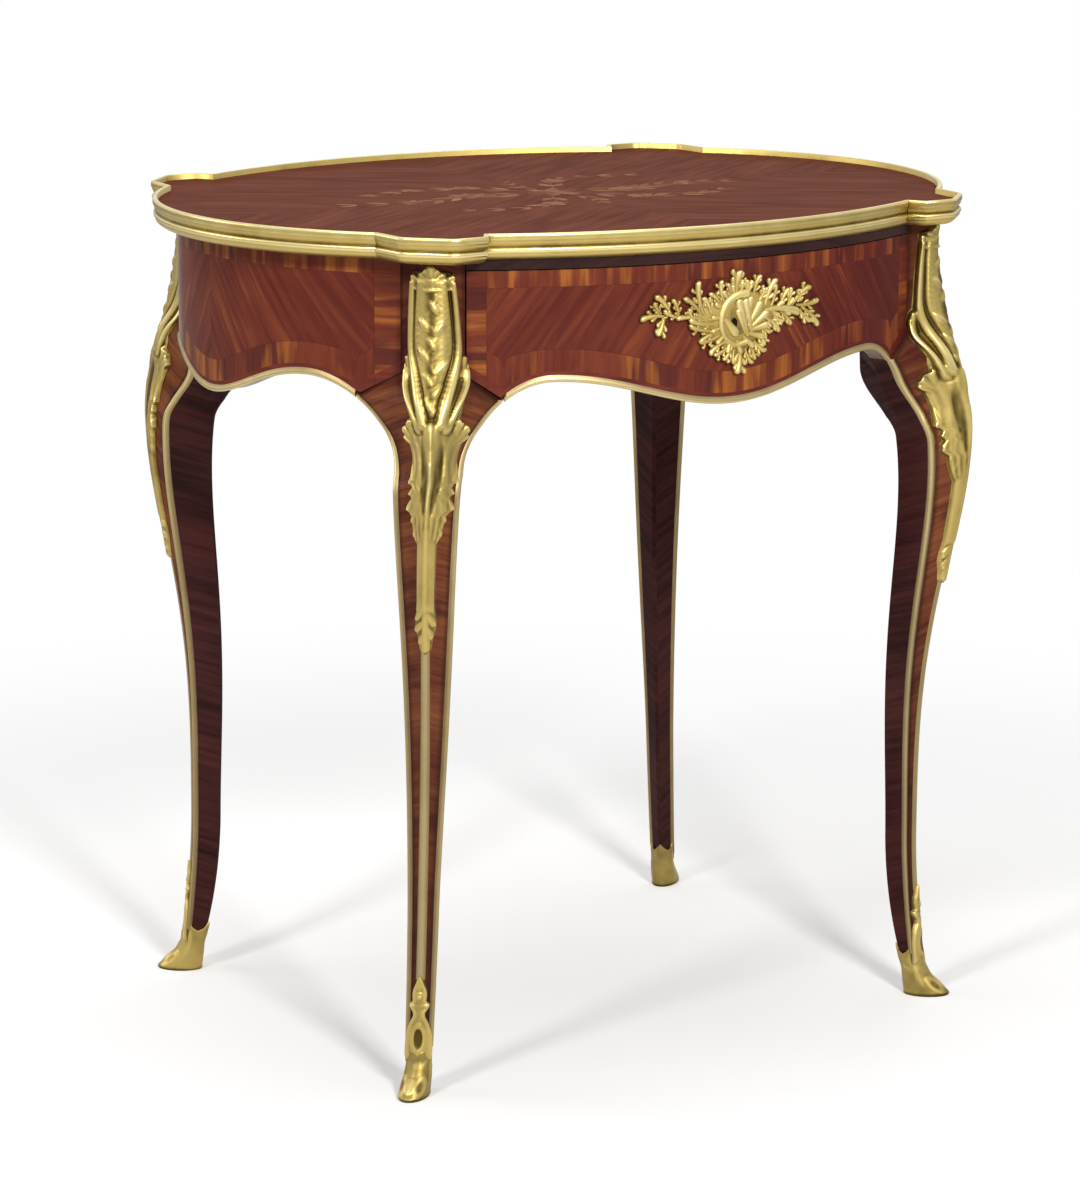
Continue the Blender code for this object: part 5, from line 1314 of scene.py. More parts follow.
# Lobes of the ruffle and the shell round the dish: from, heading in degrees, length and half width
RUFFLE = (
    (19, -11, 104, 33, 4.4), (15, -12, 109, 35, 4.6), (12, -9, 113, 23, 3.8), (-10, 5, -51, 21, 5.2),
    (-6, 20, 125, 11, 3.2), (-11, 13, 150, 11, 3.2), (-13, 5, 172, 11, 3.2), (-13, -3, 196, 11, 3.0),
    (-10, -10, 220, 11, 3.0), (0, 24, 105, 10, 3.2), (7, 26, 85, 10, 3.2), (14, 25, 68, 11, 3.4),
    (12, -2, 78, 25, 3.8), (15, -4, 58, 25, 4.0), (17, -6, 36, 23, 4.0), (16, -8, 12, 21, 4.0),
    (14, -10, -14, 19, 3.8), (9, -12, -42, 16, 3.6), (3, -15, -72, 13, 3.4), (-4, -15, -104, 12, 3.2))
RUFFLE_HEIGHT = 0.0032
RUFFLE_BASE = 0.0016
RUFFLE_CURL = 0.0010
# Tone of the key plate, dark low down for patina in its hollows and painted shade between the lobes: at its
# foot, what it gains, where it starts to gain and over what height
PLATE_TONE = 0.18
PLATE_TONE_GAIN = 0.62
PLATE_TONE_FOOT = 0.0014
PLATE_TONE_RUN = 0.0034
KEYHOLE_STRETCH = 1.5
KEYHOLE_POINTS = 24
# Lower and upper end of the keyhole's dark plug in millimetres, a painted shadow in the hole
KEYHOLE_LEVELS = (0.4, 3.3)


def round_turns(count):
    """Angles of a full turn in equal steps."""
    return np.linspace(0.0, 2 * np.pi, count + 1)[:-1]


def oval_rings(rings, oval):
    """Rings about the cartouche's middle: an outline scaled by each share, at each height."""
    shares, heights = np.array(rings).T[..., None, None]
    plan = shares * oval + CARTOUCHE_MIDDLE
    level = np.broadcast_to(heights * MM, (*plan.shape[:2], 1))
    return np.concatenate([plan, level], axis=2)


def cartouche_forms():
    """The middle of the key plate: a tilted dish, a ground plate, a C-scroll, a shell and a ruffle."""
    turn = round_turns(OVAL_POINTS)
    way = np.stack([np.cos(turn), np.sin(turn)], axis=1)
    reach = np.interp(np.degrees(turn), *np.array(PLATE_REACH).T) * MM
    cosine = math.cos(CARTOUCHE_TILT)
    sine = math.sin(CARTOUCHE_TILT)
    oval = way * CARTOUCHE @ np.array([[cosine, sine], [-sine, cosine]])
    forms = [oval_rings(DISH_RINGS, oval), oval_rings(PLATE_RINGS, reach[:, None] * way)]
    for path, radius, base in SCROLLS:
        forms.append(stem(np.array(path) * MM, radius * MM, base * MM))
    for x, z, degrees, length, half in RUFFLE:
        forms.append(club(np.array([x, z]) * MM, math.radians(degrees), length * MM, half * MM,
                          RUFFLE_HEIGHT, RUFFLE_BASE, RUFFLE_CURL))
    return forms


def make_escutcheon(gilt, dark):
    """The leafy key plate round the keyhole, bent to the drawer front."""
    forms = cartouche_forms() + sprig_forms()
    shells = []
    for number, form in enumerate(forms):
        # Low parts of the plate are darker: patina in the hollows, and painted shade between the lobes
        raised = np.clip((form[..., 2] - PLATE_TONE_FOOT) / PLATE_TONE_RUN, 0.0, 1.0)
        relief = PLATE_TONE + PLATE_TONE_GAIN * raised
        relief = relief * (DISH_SHADE if number == 0 else 1.0)
        shells.append((on_drawer(form), {"relief": relief}))
    add_piece("gilt_key_plate", shells, gilt, "drawer", ["escutcheon"], PLATE_CREASE)
    # The dark plug in the keyhole is painted shadow: it stands for the shade inside the hole
    turn = round_turns(KEYHOLE_POINTS)
    ring = KEYHOLE_RADIUS * np.stack([np.cos(turn), KEYHOLE_STRETCH * np.sin(turn)], axis=1)
    hole = lift(np.broadcast_to(ring, (2, *ring.shape)), np.array(KEYHOLE_LEVELS) * MM)
    add_piece("keyhole_shadow", [(on_drawer(hole), {})], dark, "drawer")


# Inlay of the top: stems in millimetres from the middle, leaf length and leaf pairs
INLAY_SPRAYS = (
    (((-24, -6), (-75, 16), (-135, -4), (-215, 14)), 30, 8),
    (((24, 6), (75, -16), (130, 4), (190, -10)), 30, 8),
    (((-16, 16), (-52, 62), (-105, 76), (-165, 58)), 26, 6),
    (((16, -16), (52, -62), (105, -76), (155, -58)), 26, 6),
    (((14, 20), (40, 70), (88, 88), (140, 70)), 24, 6),
    (((-14, -20), (-40, -70), (-88, -88), (-140, -70)), 24, 6),
    (((-4, 22), (-10, 60), (4, 94)), 20, 3),
    (((4, -22), (10, -60), (-4, -94)), 20, 3))
INLAY_FLOWERS = (
    (0, 0, 28), (-82, 12, 20), (84, -12, 20), (-150, 2, 13), (140, -2, 13), (-56, 64, 15), (56, -64, 15),
    (44, 72, 14), (-44, -72, 14), (-110, 74, 10), (110, -74, 10))
INLAY_PROUD = 0.00006
INLAY_STEP = 0.0000025
INLAY_STEM = 0.0011
INLAY_BLADE = 0.001
# Above this height a point is on the top of its form, and below it on the bottom
INLAY_SKIN = 0.00001
SPRAY_LEAN = 0.8
SPRAY_WIDTH = 0.17
SPRAY_BEND = 0.6
SPRAY_NOTCH = 0.1
SPRAY_FADE = 0.35
PETALS = 6
PETAL_WIDTH = 0.26
FLOWER_TURN = 0.1
TONE_STEP = 0.37


def spray_forms(path, length, pairs):
    """A stem and pairs of leaves along it, smaller to its end, leaning off it to either side."""
    path = np.array(path, dtype=float) * MM
    at = np.linspace(0.0, 1.0, len(path))
    forms = [stem(path, INLAY_STEM)]
    for number in range(pairs):
        t = (number + 0.7) / (pairs + 0.2)
        here = np.array([np.interp(t, at, path[:, i]) for i in (0, 1)])
        there = np.array([np.interp(min(t + 0.1, 1.0), at, path[:, i]) for i in (0, 1)])
        heading = math.atan2(there[1] - here[1], there[0] - here[0])
        size = length * MM * (1.0 - SPRAY_FADE * t)
        for side in (-1, 1):
            forms.append(leaf(here, heading + SPRAY_LEAN * side, size, SPRAY_WIDTH * size, INLAY_BLADE,
                              -SPRAY_BEND * side, SPRAY_NOTCH))
    return forms


def flower_forms(x, y, size):
    """Six petals in equal turns round a place."""
    turns = [petal * 2 * math.pi / PETALS + FLOWER_TURN * x for petal in range(PETALS)]
    return [leaf((x * MM, y * MM), turn, size * MM, PETAL_WIDTH * size * MM, INLAY_BLADE) for turn in turns]


def make_inlay(wood):
    """Faded floral inlay on the top: flat leaves, stems and six-petalled flowers, just proud of the sheet.

    Each form lies a hair higher than the one before it, so that crossing leaves do not share a face."""
    forms = sum([spray_forms(*row) for row in INLAY_SPRAYS], [])
    forms += sum([flower_forms(*row) for row in INLAY_FLOWERS], [])
    shells = []
    for number, form in enumerate(forms):
        top = 2 * INLAY_PROUD + INLAY_STEP * number
        level = WOOD_SURFACE - INLAY_PROUD + top * (form[..., 2:] > INLAY_SKIN)
        points = np.concatenate([form[..., :2], level], axis=2)
        tone = np.full(form.shape[:2], (number * TONE_STEP) % 1.0)
        shells.append((points, {"relief": tone}))
    add_piece("top_inlay", shells, wood, "table")


# Materials

def put(tree, kind, settings=None, **inputs):
    """Add a shader node; inputs given by name (spaces as underscores) are values or sockets to link."""
    node = tree.nodes.new(kind)
    for key, value in (settings or {}).items():
        setattr(node, key, value)
    for key, value in inputs.items():
        socket = node.inputs[key.replace("_", " ")]
        if isinstance(value, bpy.types.NodeSocket):
            tree.links.new(value, socket)
        else:
            socket.default_value = value
    return node


def maths(tree, operation, first, second=0.0, clamp=False):
    """A Math node's result."""
    node = tree.nodes.new("ShaderNodeMath")
    node.operation = operation
    node.use_clamp = clamp
    for socket, value in zip(node.inputs, (first, second)):
        if isinstance(value, bpy.types.NodeSocket):
            tree.links.new(value, socket)
        else:
            socket.default_value = value
    return node.outputs[0]


def mixed(tree, share, first, second, blend="MIX"):
    """Two colours mixed by a share."""
    node = tree.nodes.new("ShaderNodeMix")
    node.data_type = "RGBA"
    node.blend_type = blend
    node.clamp_factor = True
    for number, value in ((0, share), (6, first), (7, second)):
        if isinstance(value, bpy.types.NodeSocket):
            tree.links.new(value, node.inputs[number])
        else:
            node.inputs[number].default_value = value if number == 0 else (*value, 1.0)
    return node.outputs[2]


def between(tree, value, low, high):
    """Smooth share of the way of a value from low to high."""
    node = put(tree, "ShaderNodeMapRange", {"interpolation_type": "SMOOTHSTEP"}, Value=value)
    node.inputs["From Min"].default_value = low
    node.inputs["From Max"].default_value = high
    return node.outputs["Result"]


def noise(tree, vector, scale, detail=3.0, roughness=0.55):
    """Noise value at a vector."""
    node = put(tree, "ShaderNodeTexNoise", None, Vector=vector, Scale=scale, Detail=detail,
               Roughness=roughness)
    return node.outputs["Fac"]


def joined(tree, x, y, z=0.0):
    """A vector from three values."""
    return put(tree, "ShaderNodeCombineXYZ", None, X=x, Y=y, Z=z).outputs["Vector"]


def new_group(name, inputs, outputs):
    """An empty shader node group with named sockets: (name, socket type) pairs."""
    tree = bpy.data.node_groups.new(name, "ShaderNodeTree")
    for label, kind in inputs:
        tree.interface.new_socket(label, in_out="INPUT", socket_type=kind)
    for label, kind in outputs:
        tree.interface.new_socket(label, in_out="OUTPUT", socket_type=kind)
    return tree, tree.nodes.new("NodeGroupInput").outputs, tree.nodes.new("NodeGroupOutput").inputs


FLOAT = "NodeSocketFloat"
COLOUR = "NodeSocketColor"
VECTOR = "NodeSocketVector"
# Waves per metre of the wood's noise: along the grain, across it and by seed
STREAK_SCALES = (9.0, 170.0, 1.0)
PORE_SCALES = (70.0, 1500.0, 1.0)
CLOUD_SCALES = (8.0, 22.0, 1.0)


def wood_group():
    """Wood figure from a place given as (along the grain, across it, seed).

    Noise drawn out along the grain gives streaks, pores and clouds; the pores give a normal too."""
    tree, given, result = new_group("wood_figure", (("Grain", VECTOR),), (
        ("Streak", FLOAT), ("Pores", FLOAT), ("Cloud", FLOAT), ("Normal", VECTOR)))
    drawn = []
    for scales in (STREAK_SCALES, PORE_SCALES, CLOUD_SCALES):
        node = put(tree, "ShaderNodeVectorMath", {"operation": "MULTIPLY"})
        tree.links.new(given["Grain"], node.inputs[0])
        node.inputs[1].default_value = scales
        drawn.append(node.outputs[0])
    pores = noise(tree, drawn[1], 1.0, 2.0)
    tree.links.new(noise(tree, drawn[0], 1.0, 5.0, 0.62), result["Streak"])
    tree.links.new(pores, result["Pores"])
    tree.links.new(noise(tree, drawn[2], 1.0, 2.0), result["Cloud"])
    relief = put(tree, "ShaderNodeBump", None, Strength=0.12, Distance=0.0003, Height=pores)
    tree.links.new(relief.outputs["Normal"], result["Normal"])
    return tree


def gilt_group():
    """Gilt bronze from a relief value: olive-brown in the hollows, worn pale gold on the heights, mottled."""
    tree, given, result = new_group("gilt_tone", (("Relief", FLOAT),), (
        ("Colour", COLOUR), ("Roughness", FLOAT), ("Normal", VECTOR)))
    place = tree.nodes.new("ShaderNodeTexCoord").outputs["Object"]
    mottle = noise(tree, place, 55.0, 4.0)
    grit = noise(tree, place, 700.0, 3.0)
    cloud = noise(tree, place, 16.0, 2.0)
    wear = maths(tree, "ADD", scaled(tree, mottle, 0.35), scaled(tree, cloud, 0.45))
    level = maths(tree, "ADD", given["Relief"], maths(tree, "SUBTRACT", wear, 0.40))
    low = mixed(tree, between(tree, level, 0.05, 0.5), GILT_HOLLOW, GILT_BODY)
    tone = mixed(tree, between(tree, level, 0.55, 1.0), low, GILT_HEIGHT)
    tree.links.new(tone, result["Colour"])
    rough = maths(tree, "SUBTRACT", 0.42, maths(tree, "MULTIPLY", between(tree, level, 0.2, 1.0), 0.14))
    tree.links.new(maths(tree, "ADD", rough, maths(tree, "MULTIPLY", grit, 0.06)), result["Roughness"])
    relief = put(tree, "ShaderNodeBump", None, Strength=0.10, Distance=0.0006, Height=grit)
    tree.links.new(relief.outputs["Normal"], result["Normal"])
    return tree


GILT_HOLLOW = (0.085, 0.055, 0.012)
GILT_BODY = (0.46, 0.345, 0.108)
GILT_HEIGHT = (0.70, 0.580, 0.260)
FILLET_TAN = (0.42, 0.32, 0.19)
FILLET_DULL = (0.195, 0.135, 0.08)
FILLET_DULLING = (0.36, 0.60)


def new_material(name, roughness, metallic=0.0, coat=0.0, specular=0.5):
    """A material with a Principled shader: its tree and the shader."""
    material = bpy.data.materials.new(name)
    material.use_nodes = True
    shader = material.node_tree.nodes["Principled BSDF"]
    shader.inputs["Roughness"].default_value = roughness
    shader.inputs["Metallic"].default_value = metallic
    shader.inputs["Specular IOR Level"].default_value = specular
    shader.inputs["Coat Weight"].default_value = coat
    shader.inputs["Coat Roughness"].default_value = 0.16
    return material, material.node_tree, shader.inputs


def use_group(tree, group, **inputs):
    """A node that runs a group."""
    node = tree.nodes.new("ShaderNodeGroup")
    node.node_tree = group
    for key, value in inputs.items():
        tree.links.new(value, node.inputs[key])
    return node.outputs


def attribute(tree, name):
    """The named attribute of the mesh."""
    node = tree.nodes.new("ShaderNodeAttribute")
    node.attribute_name = name
    return node.outputs


def gilt_material(group, name, dull=0.0):
    """Gilt bronze for the mounts, led by the pieces' own relief, and dulled where it is left matt."""
    material, tree, shader = new_material(name, 0.3, 1.0)
    out = use_group(tree, group, Relief=attribute(tree, "relief")["Fac"])
    tree.links.new(out["Colour"], shader["Base Color"])
    tree.links.new(maths(tree, "ADD", out["Roughness"], dull), shader["Roughness"])
    tree.links.new(out["Normal"], shader["Normal"])
    return material


def fillet_material(group):
    """Thin edge fillets: the same gilding, worn down to a paler tan, duller and browner down the legs."""
    material, tree, shader = new_material("gilt_fillet_worn", 0.3, 1.0)
    out = use_group(tree, group, Relief=attribute(tree, "relief")["Fac"])
    bright = mixed(tree, 0.5, out["Colour"], FILLET_TAN)
    dull = mixed(tree, 0.7, out["Colour"], FILLET_DULL)
    high = between(tree, object_place(tree)["Z"], *FILLET_DULLING)
    tree.links.new(mixed(tree, high, dull, bright), shader["Base Color"])
    tree.links.new(out["Roughness"], shader["Roughness"])
    tree.links.new(out["Normal"], shader["Normal"])
    return material


WAX = {"coat": 0.08, "specular": 0.06}
LEG_WAX = {"coat": 0.10, "specular": 0.0}
PORE_TONE = (0.024, 0.008, 0.006)
FIELD_DARK = (0.082, 0.014, 0.010)
FIELD_LIGHT = (0.160, 0.035, 0.016)
BAND_DARK = (0.090, 0.016, 0.010)
BAND_ORANGE = (0.165, 0.040, 0.014)
BAND_LIGHT = (0.33, 0.108, 0.022)
BAND_PURPLE = (0.044, 0.010, 0.012)
EDGE_DARK = (0.080, 0.014, 0.010)
EDGE_LIGHT = (0.150, 0.031, 0.018)
OAK_DARK = (0.17, 0.095, 0.045)
OAK_LIGHT = (0.40, 0.26, 0.14)
AGED_OAK_DARK = (0.075, 0.042, 0.024)
AGED_OAK_LIGHT = (0.18, 0.11, 0.062)
CORE_DARK = (0.10, 0.055, 0.028)
CORE_LIGHT = (0.25, 0.15, 0.08)
RAIL_DARK = (0.018, 0.008, 0.007)
RAIL_LIGHT = (0.040, 0.016, 0.014)
LOCK_STEEL = (0.40, 0.38, 0.36)
LOCK_BRASS = (0.58, 0.44, 0.18)
# Colour of the keyhole's plug: painted shadow in the hole
KEYHOLE_SHADOW_TONE = (0.02, 0.016, 0.012)
LEG_DARK = (0.078, 0.017, 0.009)
LEG_LIGHT = (0.225, 0.072, 0.026)
LEG_SHADE = (0.036, 0.009, 0.007)
POST_SHADE = (0.060, 0.013, 0.013)
INNER_DARK = (0.018, 0.005, 0.005)
INNER_LIGHT = (0.062, 0.017, 0.015)
TOP_DARK = (0.085, 0.022, 0.012)
TOP_LIGHT = (0.150, 0.044, 0.026)
INLAY_DARK = (0.172, 0.066, 0.036)
INLAY_LIGHT = (0.30, 0.150, 0.080)
GLANCE = (0.80, 0.96)
GLANCE_COAT = 0.7
# The veneer to the right of the middle comes from a redder log
RED_LEAF = (0.74, 0.54, 0.68)
RED_FROM = (0.02, 0.17)
LOW_BAND = 0.027
DARK_BAND = 0.008
SIDE_BAND = 0.016
TOP_BAND = 0.0145


def wood_tone(tree, figure, dark, light, pore=0.35):
    """Colour from a wood figure: dark to light by the streaks and clouds, darkened in the pores."""
    streak = maths(tree, "MULTIPLY", figure["Streak"], 0.7)
    share = maths(tree, "ADD", streak, maths(tree, "MULTIPLY", figure["Cloud"], 0.5))
    tone = mixed(tree, between(tree, share, 0.40, 0.82), dark, light)
    depth = maths(tree, "MULTIPLY", between(tree, figure["Pores"], 0.56, 0.75), pore)
    return mixed(tree, depth, tone, PORE_TONE)


def split(tree, name):
    """The three parts of a mesh's vector attribute."""
    return put(tree, "ShaderNodeSeparateXYZ", None, Vector=attribute(tree, name)["Vector"]).outputs


def object_place(tree):
    """The three parts of a place in the object's own axes."""
    place = tree.nodes.new("ShaderNodeTexCoord").outputs["Object"]
    return put(tree, "ShaderNodeSeparateXYZ", None, Vector=place).outputs


def scaled(tree, value, factor):
    """A value times a factor."""
    return maths(tree, "MULTIPLY", value, factor)


def glancing_polish(tree, shader, coat):
    """Polish that shines at a glancing angle, as on the turned-away end of a curved board."""
    facing = tree.nodes.new("ShaderNodeLayerWeight").outputs["Facing"]
    shine = scaled(tree, between(tree, facing, *GLANCE), GLANCE_COAT)
    tree.links.new(maths(tree, "ADD", shine, coat), shader["Coat Weight"])


def crossband_tone(tree, group, along, across, seed):
    """Tulipwood crossband: red-brown strips, some orange and some dark purple, drawn out along the grain."""
    figure = use_group(tree, group, Grain=joined(tree, along, across, seed))
    strips = joined(tree, scaled(tree, across, 62.0), scaled(tree, along, 7.0), seed)
    orange = between(tree, noise(tree, strips, 1.0, 2.5), 0.48, 0.62)
    purple = between(tree, noise(tree, strips, 0.8, 1.0), 0.56, 0.66)
    tone = wood_tone(tree, figure, BAND_DARK, FIELD_LIGHT)
    tone = mixed(tree, scaled(tree, purple, 0.55), tone, BAND_PURPLE)
    return mixed(tree, orange, tone, wood_tone(tree, figure, BAND_ORANGE, BAND_LIGHT))


def frieze_material(group):
    """Quartered kingwood field with a crossband of tulipwood round it and a plain band on the lower edge."""
    material, tree, shader = new_material("frieze_quartered_veneer", 0.34, 0.0, **WAX)
    place = split(tree, "veneer")
    edge = split(tree, "edges")
    run = maths(tree, "ABSOLUTE", place["X"])
    along = maths(tree, "SUBTRACT", scaled(tree, place["Y"], 0.83), scaled(tree, run, 0.56))
    across = maths(tree, "ADD", scaled(tree, run, 0.83), scaled(tree, place["Y"], 0.56))
    side_seed = scaled(tree, maths(tree, "SIGN", place["X"]), 0.8)
    field = use_group(tree, group, Grain=joined(tree, along, across, side_seed))
    field_tone = wood_tone(tree, field, FIELD_DARK, FIELD_LIGHT)
    cloud = between(tree, field["Cloud"], 0.50, 0.68)
    flame = maths(tree, "MULTIPLY", cloud, between(tree, field["Streak"], 0.48, 0.66))
    field_tone = mixed(tree, scaled(tree, flame, 0.55), field_tone, BAND_LIGHT)
    upright_tone = crossband_tone(tree, group, place["Y"], place["X"], 3.0)
    level_tone = crossband_tone(tree, group, place["X"], place["Y"], 7.0)
    in_ends = maths(tree, "LESS_THAN", edge["Y"], SIDE_BAND)
    in_low = maths(tree, "LESS_THAN", edge["X"], LOW_BAND)
    in_top = maths(tree, "LESS_THAN", edge["Z"], TOP_BAND)
    tone = mixed(tree, maths(tree, "MAXIMUM", in_low, in_top), field_tone, upright_tone)
    tone = mixed(tree, in_ends, tone, level_tone)
    lower = use_group(tree, group, Grain=joined(tree, place["X"], place["Y"], 11.0))
    in_edge = maths(tree, "LESS_THAN", edge["X"], DARK_BAND)
    tone = mixed(tree, in_edge, tone, wood_tone(tree, lower, EDGE_DARK, EDGE_LIGHT))
    tone = mixed(tree, between(tree, object_place(tree)["X"], *RED_FROM), tone, RED_LEAF, "MULTIPLY")
    seams = 0.0
    for distance, width in ((edge["X"], LOW_BAND), (edge["Y"], SIDE_BAND), (edge["Z"], TOP_BAND)):
        near = maths(tree, "ABSOLUTE", maths(tree, "SUBTRACT", distance, width))
        line = maths(tree, "SUBTRACT", 1.0, between(tree, near, 0.0001, 0.0006))
        seams = maths(tree, "MAXIMUM", seams, line)
    tone = mixed(tree, scaled(tree, seams, 0.30), tone, PORE_TONE)
    behind = between(tree, maths(tree, "SUBTRACT", 1.0, place["Z"]), 0.05, 0.09)
    tone = mixed(tree, behind, tone, wood_tone(tree, lower, AGED_OAK_DARK, AGED_OAK_LIGHT))
    glancing_polish(tree, shader, WAX["coat"])
    tree.links.new(tone, shader["Base Color"])
    tree.links.new(field["Normal"], shader["Normal"])
    return material


def leg_material(group):
    """Leg veneer: grain across the outer faces, darker in patches, and dark purple-brown inner faces."""
    material, tree, shader = new_material("leg_cross_veneer", 0.34, 0.0, **LEG_WAX)
    place = split(tree, "veneer")
    slant = maths(tree, "ADD", place["Y"], scaled(tree, maths(tree, "ABSOLUTE", place["X"]), 0.35))
    figure = use_group(tree, group, Grain=joined(tree, place["X"], slant, 2.0))
    outer = wood_tone(tree, figure, LEG_DARK, LEG_LIGHT)
    patches = joined(tree, scaled(tree, place["X"], 12.0), scaled(tree, slant, 26.0), 1.0)
    patch = noise(tree, patches, 1.0, 3.0)
    outer = mixed(tree, scaled(tree, between(tree, patch, 0.50, 0.68), 0.75), outer, LEG_SHADE)
    inner = wood_tone(tree, figure, INNER_DARK, INNER_LIGHT)
    height = object_place(tree)["Z"]
    low = maths(tree, "SUBTRACT", 1.0, between(tree, height, 0.06, 0.52))
    high = between(tree, height, JOINT_Z - 0.004, JOINT_Z + JOINT_RISE)
    outer = mixed(tree, scaled(tree, low, 0.80), outer, LEG_SHADE)
    outer = mixed(tree, scaled(tree, high, 0.45), outer, POST_SHADE)
    near_fillet = maths(tree, "SUBTRACT", 1.0, between(tree, split(tree, "edges")["X"], 0.0005, 0.0060))
    outer = mixed(tree, scaled(tree, near_fillet, 0.65), outer, PORE_TONE)
    tone = mixed(tree, between(tree, place["Z"], 0.3, 0.7), outer, inner)
    tree.links.new(tone, shader["Base Color"])
    tree.links.new(figure["Normal"], shader["Normal"])
    return material


def top_material(group):
    """Quarter-matched veneer of the top: grain runs to the middle, mirrored over both centre lines."""
    material, tree, shader = new_material("top_quartered_veneer", 0.42, 0.0, 0.05, 0.0)
    place = object_place(tree)
    x = maths(tree, "ABSOLUTE", place["X"])
    y = maths(tree, "ABSOLUTE", place["Y"])
    along = maths(tree, "ADD", scaled(tree, x, 0.80), scaled(tree, y, 0.60))
    across = maths(tree, "SUBTRACT", scaled(tree, y, 0.80), scaled(tree, x, 0.60))
    figure = use_group(tree, group, Grain=joined(tree, along, across, 5.0))
    tone = wood_tone(tree, figure, TOP_DARK, TOP_LIGHT, 0.25)
    seam = maths(tree, "SUBTRACT", 1.0, between(tree, maths(tree, "MINIMUM", x, y), 0.0001, 0.0008))
    tone = mixed(tree, scaled(tree, seam, 0.12), tone, PORE_TONE)
    tree.links.new(tone, shader["Base Color"])
    tree.links.new(figure["Normal"], shader["Normal"])
    return material


def inlay_material(group):
    """Faded fruitwood of the inlay, each leaf with its own tone, worn in patches."""
    material, tree, shader = new_material("top_inlay_fruitwood", 0.42, 0.0, 0.05, 0.0)
    place = tree.nodes.new("ShaderNodeTexCoord").outputs["Object"]
    figure = use_group(tree, group, Grain=place)
    tone = mixed(tree, attribute(tree, "relief")["Fac"], INLAY_DARK, INLAY_LIGHT)
    worn = between(tree, noise(tree, place, 30.0, 3.0), 0.44, 0.64)
    tone = mixed(tree, scaled(tree, worn, 0.7), tone, TOP_LIGHT)
    tone = mixed(tree, scaled(tree, figure["Streak"], 0.35), tone, TOP_DARK)
    tree.links.new(tone, shader["Base Color"])
    return material


def plain_wood(group, name, dark, light, turn=False, roughness=0.5, coat=0.0, specular=0.3):
    """A board of one wood, its grain along X, or along Y if turned."""
    material, tree, shader = new_material(name, roughness, 0.0, coat, specular)
    place = object_place(tree)
    flat = maths(tree, "ADD", place["Z"], place["X"] if turn else place["Y"])
    figure = use_group(tree, group, Grain=joined(tree, place["Y"] if turn else place["X"], flat, 1.0))
    tree.links.new(wood_tone(tree, figure, dark, light), shader["Base Color"])
    tree.links.new(figure["Normal"], shader["Normal"])
    return material


def plain_metal(name, colour, roughness):
    """A worn metal: its colour mottled and its polish uneven."""
    material, tree, shader = new_material(name, roughness, 1.0)
    place = tree.nodes.new("ShaderNodeTexCoord").outputs["Object"]
    cloud = noise(tree, place, 90.0, 4.0)
    tree.links.new(mixed(tree, cloud, tuple(0.55 * c for c in colour), colour), shader["Base Color"])
    polish = maths(tree, "ADD", roughness - 0.1, scaled(tree, cloud, 0.3))
    tree.links.new(polish, shader["Roughness"])
    return material


def dress_nodes(group):
    """Better materials on the CAD nodes whose shape is kept."""
    oak_along = plain_wood(group, "oak_lengthwise", OAK_DARK, OAK_LIGHT)
    oak_across = plain_wood(group, "oak_crosswise", OAK_DARK, OAK_LIGHT, True)
    aged = plain_wood(group, "oak_aged", AGED_OAK_DARK, AGED_OAK_LIGHT, True)
    core = plain_wood(group, "core_oak", CORE_DARK, CORE_LIGHT)
    rail = plain_wood(group, "rail_kingwood", RAIL_DARK, RAIL_LIGHT, False, 0.4, **WAX)
    steel = plain_metal("lock_steel_worn", LOCK_STEEL, 0.42)
    brass = plain_metal("lock_brass_worn", LOCK_BRASS, 0.36)
    finishes = {"top_panel": core, "front_top_rail": rail,
                "drawer_back": oak_along, "drawer_bottom": oak_along,
                "drawer_side_left": oak_across, "drawer_side_right": oak_across, "drawer_runner_left": aged,
                "drawer_runner_right": aged, "drawer_kicker_left": aged, "drawer_kicker_right": aged,
                "lock_case": steel, "lock_bolt": brass, "strike_plate": brass,
                "top_screw_front_left": steel, "top_screw_front_right": steel,
                "top_screw_back_left": steel, "top_screw_back_right": steel}
    for name, material in finishes.items():
        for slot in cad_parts[name].material_slots:
            slot.material = material
    return rail


# Stage

FLOOR_HALF = 30.0
SHADOW_REACH = (0.5, 1.6)
FLOOR_GLOW = 0.25


def make_floor():
    """A pale floor that runs out to pure white; near the table it keeps the soft shadow."""
    mesh = bpy.data.meshes.new("floor")
    half = FLOOR_HALF
    corners = [(-half, -half, 0), (half, -half, 0), (half, half, 0), (-half, half, 0)]
    mesh.from_pydata(corners, [], [(0, 1, 2, 3)])
    material = bpy.data.materials.new("studio_floor")
    material.use_nodes = True
    tree = material.node_tree
    tree.nodes.clear()
    place = tree.nodes.new("ShaderNodeTexCoord").outputs["Object"]
    reach = put(tree, "ShaderNodeVectorMath", {"operation": "LENGTH"})
    tree.links.new(place, reach.inputs[0])
    far = between(tree, reach.outputs["Value"], *SHADOW_REACH)
    paper = put(tree, "ShaderNodeBsdfDiffuse", None, Color=(0.97, 0.965, 0.96, 1.0))
    glow = put(tree, "ShaderNodeEmission", None, Color=(1.0, 1.0, 1.0, 1.0), Strength=1.0)
    seen = tree.nodes.new("ShaderNodeLightPath").outputs["Is Camera Ray"]
    share = maths(tree, "ADD", FLOOR_GLOW, maths(tree, "MULTIPLY", far, 1.0 - FLOOR_GLOW))
    mix = tree.nodes.new("ShaderNodeMixShader")
    tree.links.new(maths(tree, "MULTIPLY", share, seen), mix.inputs[0])
    tree.links.new(paper.outputs[0], mix.inputs[1])
    tree.links.new(glow.outputs[0], mix.inputs[2])
    out = tree.nodes.new("ShaderNodeOutputMaterial")
    tree.links.new(mix.outputs[0], out.inputs["Surface"])
    mesh.materials.append(material)
    floor = bpy.data.objects.new("floor", mesh)
    bpy.context.scene.collection.objects.link(floor)


